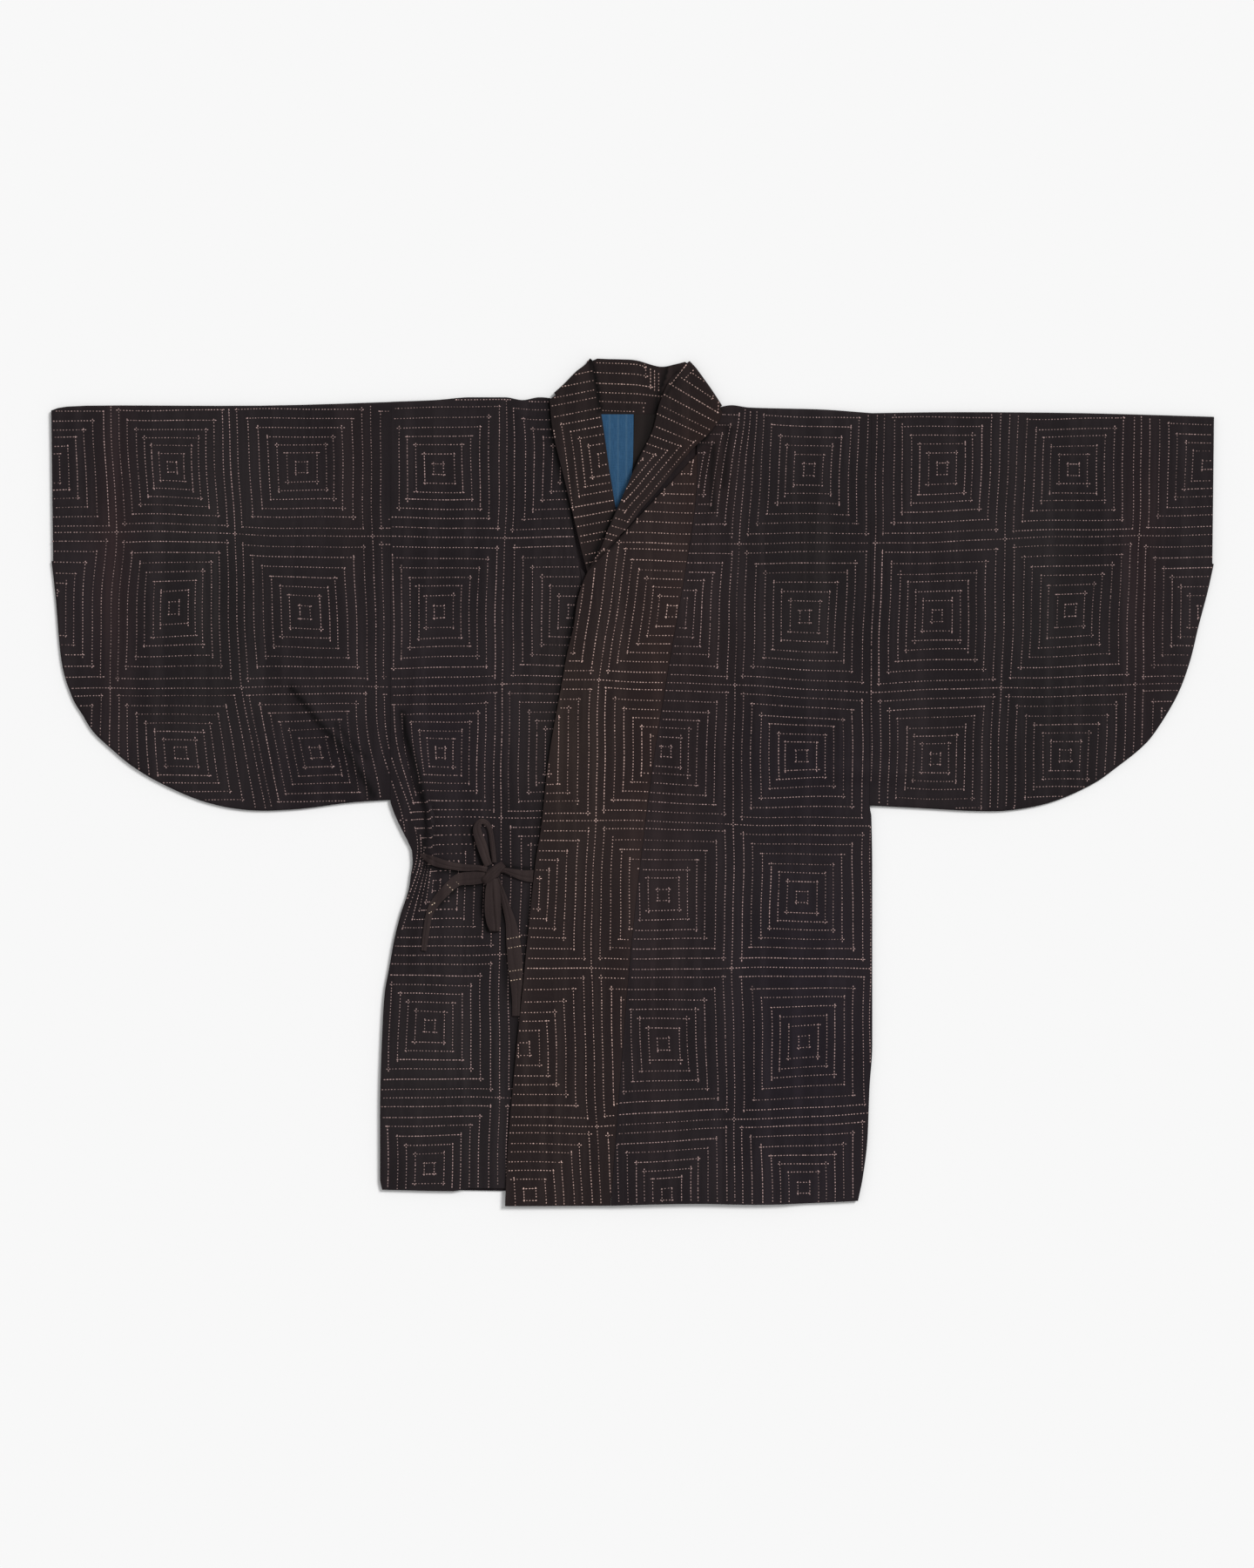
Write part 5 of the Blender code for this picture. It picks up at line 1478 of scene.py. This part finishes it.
def add_floor():
    bpy.ops.mesh.primitive_plane_add(size=FLOOR_SIZE, location=(0.0, 0.0, -FLOOR_DROP))
    floor = bpy.context.active_object
    floor.name = "floor"
    material = bpy.data.materials.new("pale floor")
    material.use_nodes = True
    shader = material.node_tree.nodes["Principled BSDF"]
    shader.inputs["Base Color"].default_value = (FLOOR_WHITE, FLOOR_WHITE, FLOOR_WHITE, 1.0)
    shader.inputs["Roughness"].default_value = 1.0
    shader.inputs["Specular IOR Level"].default_value = 0.0
    floor.data.materials.append(material)


def add_light():
    world = bpy.data.worlds.new("studio")
    bpy.context.scene.world = world
    world.use_nodes = True
    background = world.node_tree.nodes["Background"]
    background.inputs["Color"].default_value = (1.0, 1.0, 1.0, 1.0)
    background.inputs["Strength"].default_value = SKY_STRENGTH
    key = bpy.data.objects.new("key", bpy.data.lights.new("key", "SUN"))
    key.data.energy = KEY_STRENGTH
    key.data.angle = math.radians(KEY_SPREAD)
    key.rotation_euler = [math.radians(angle) for angle in KEY_TILT]
    bpy.context.scene.collection.objects.link(key)


def add_camera():
    camera = bpy.data.objects.new("camera", bpy.data.cameras.new("camera"))
    camera.data.lens = LENS
    camera.data.sensor_width = SENSOR
    camera.location = (CAMERA_X * MM, CAMERA_Y * MM, FRAME_HEIGHT * MM * LENS / SENSOR)
    camera.data.clip_end = 50.0
    bpy.context.scene.collection.objects.link(camera)
    bpy.context.scene.camera = camera
    bpy.context.scene.view_settings.view_transform = "Standard"


def finish_piece(piece, replaced=None):
    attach(piece, "root")
    if replaced is not None:
        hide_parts(replaced)


add_camera()
add_light()
add_floor()

DARK = "indigo_black_cotton"
BROWN = "brown_cotton"
dark_cotton = cotton(
    "dark cotton", (0.0112, 0.0080, 0.0094), (0.0162, 0.0120, 0.0134), (0.027, 0.020, 0.022))
brown_cloth = cotton(
    "brown cotton", (0.0148, 0.0092, 0.0094), (0.0205, 0.0132, 0.0130), (0.034, 0.023, 0.022))
plain_brown = cotton(
    "collar cotton", (0.0125, 0.0080, 0.0080), (0.0185, 0.0120, 0.0118), (0.030, 0.020, 0.019), furrows=False)
tie_cloth = cotton(
    "tie cotton", (0.0230, 0.0152, 0.0150), (0.0310, 0.0210, 0.0208), (0.048, 0.033, 0.031), furrows=False,
    bump=0.6)
lining_dark = cotton(
    "brown lining", (0.0120, 0.0090, 0.0085), (0.0170, 0.0130, 0.0120), (0.024, 0.018, 0.017), furrows=False)
dark_thread = thread_material("faded thread", (0.12, 0.078, 0.076), (0.52, 0.36, 0.345))
pale_thread = thread_material("pale thread", (0.18, 0.112, 0.100), (0.76, 0.53, 0.47))
cream_thread = thread_material("cream thread", (0.36, 0.25, 0.19), (0.78, 0.60, 0.46))

right, left = table(
    "name half side shoulder hem level grid",
    ("body_right", -1, SIDE_RIGHT, SHOULDER_RIGHT, HEM_RIGHT, lower_front_z, GRID_RIGHT),
    ("body_left", 1, SIDE_LEFT, SHOULDER_LEFT, HEM_LEFT, left_front_z, GRID_LEFT),
)
sleeves = table(
    "name top bag cuff side grid cells",
    ("sleeve_right", resample(SLEEVE_TOP_RIGHT, TOP_STEPS), resample(SLEEVE_BAG_RIGHT, BAG_STEPS),
     CUFF_RIGHT, SIDE_RIGHT, GRID_RIGHT, (-1, 3)),
    ("sleeve_left", resample(SLEEVE_TOP_LEFT, TOP_STEPS), resample(SLEEVE_BAG_LEFT, BAG_STEPS),
     CUFF_LEFT, SIDE_LEFT, GRID_LEFT, (1, 5)),
)

body_right = body_panel(right, dark_cotton)
body_left = body_panel(left, dark_cotton)
okumi_right = okumi("okumi_right", FREE_EDGE_RIGHT, HEM_RIGHT, lower_front_z, -1, GRID_RIGHT,
                    {"edge_y": 212, "seam_y": 232}, dark_cotton, HIDDEN_CELL)
okumi_left = okumi("okumi_left", FREE_EDGE_LEFT, HEM_LEFT, left_front_z, 1, GRID_LEFT,
                   {"edge_y": 226, "seam_y": 352}, brown_cloth)
for piece, slot_name in ((body_right, DARK), (body_left, DARK), (okumi_right, DARK), (okumi_left, BROWN)):
    finish_piece(piece, piece.name.removesuffix("_cloth"))
sleeve_cloths = []
for number, sleeve in enumerate(sleeves):
    cloth = make_sleeve(sleeve, dark_cotton)
    finish_piece(cloth, sleeve["name"])
    sleeve_cloths.append(cloth)
    threads = sew(sleeve["name"] + "_stitches", sleeve["grid"], sleeve["cells"], (0, 4), on_sleeve(sleeve),
                  lambda x, y: lower_front_z(x, y) + WALL, dark_thread, number)
    finish_piece(threads)
collar = make_collar(plain_brown)
finish_piece(collar, "collar")
lining_blue = make_lining("lining_blue", LINING_BLUE, striped_lining("blue lining"))
finish_piece(lining_blue, "lining_blue")
lining_brown = make_lining("lining_brown", LINING_BROWN, lining_dark)
finish_piece(lining_brown, "lining_brown")

front_stitches = [
    ("body_right_stitches", GRID_RIGHT, (1, 5), on_right_front, lower_front_z, dark_thread, DARK),
    ("body_left_stitches", GRID_LEFT, (-1, 3), on_left_front, left_front_z, dark_thread, DARK),
    ("okumi_left_stitches", GRID_LEFT, (-1, 2), on_okumi, left_front_z, pale_thread, BROWN),
]
for number, (name, grid, cells, shows, level, thread, slot_name) in enumerate(front_stitches):
    threads = sew(name, grid, cells, (0, 6), shows, lambda x, y, level=level: level(x, y) + WALL, thread,
                  FRONT_DRAWS + number)
    finish_piece(threads)
for threads in sew_collar(pale_thread):
    finish_piece(threads)

ties = [make_tie_strip(name, path, tie_cloth) for name, path in TIES.items()]
ties += [make_tie_loop_down(tie_cloth), make_tie_wrap(tie_cloth)]
for tie in ties:
    finish_piece(tie, tie.name.removesuffix("_cloth"))
tie_core = make_tie_core(tie_cloth)
finish_piece(tie_core)
finish_piece(sew_tie_bands(cream_thread))

# Each piece's cut: its width and length in millimetres, and the share of that rectangle that it fills.
CUT_COLUMNS = "piece width length fill rests_on"
CUTS = table(
    CUT_COLUMNS,
    (body_right, 296, 1690, 0.84, ["floor", "okumi_right_cloth"]),
    (body_left, 282, 1700, 0.84, ["floor", "body_right_cloth"]),
    (okumi_right, 115, 660, 0.62, ["body_left_cloth"]),
    (okumi_left, 116, 810, 0.86, ["body_right_cloth"]),
    (sleeve_cloths[0], 366, 870, 0.87, ["floor"]),
    (sleeve_cloths[1], 370, 860, 0.87, ["floor"]),
    (collar, 58, 700, 0.8, ["body_right_cloth", "okumi_left_cloth"]),
    (lining_blue, 43, 111, 0.75, ["body_right_cloth"]),
    (lining_brown, 43, 73, 0.65, ["body_left_cloth"]),
)
TIE_CUTS = {
    "tie_anchor_side_cloth": (10, 75, 0.77), "tie_anchor_front_cloth": (12, 36, 0.755),
    "tie_loop_up_cloth": (10, 100, 0.72), "tie_loop_down_cloth": (17, 118, 0.87),
    "tie_tail_right_cloth": (15.6, 150, 0.72), "tie_tail_left_cloth": (14, 120, 0.70),
    "tie_knot_cloth": (10, 37, 0.95),
}
CUTS += table(CUT_COLUMNS, *((tie, *TIE_CUTS[tie.name], ["body_right_cloth"]) for tie in ties))
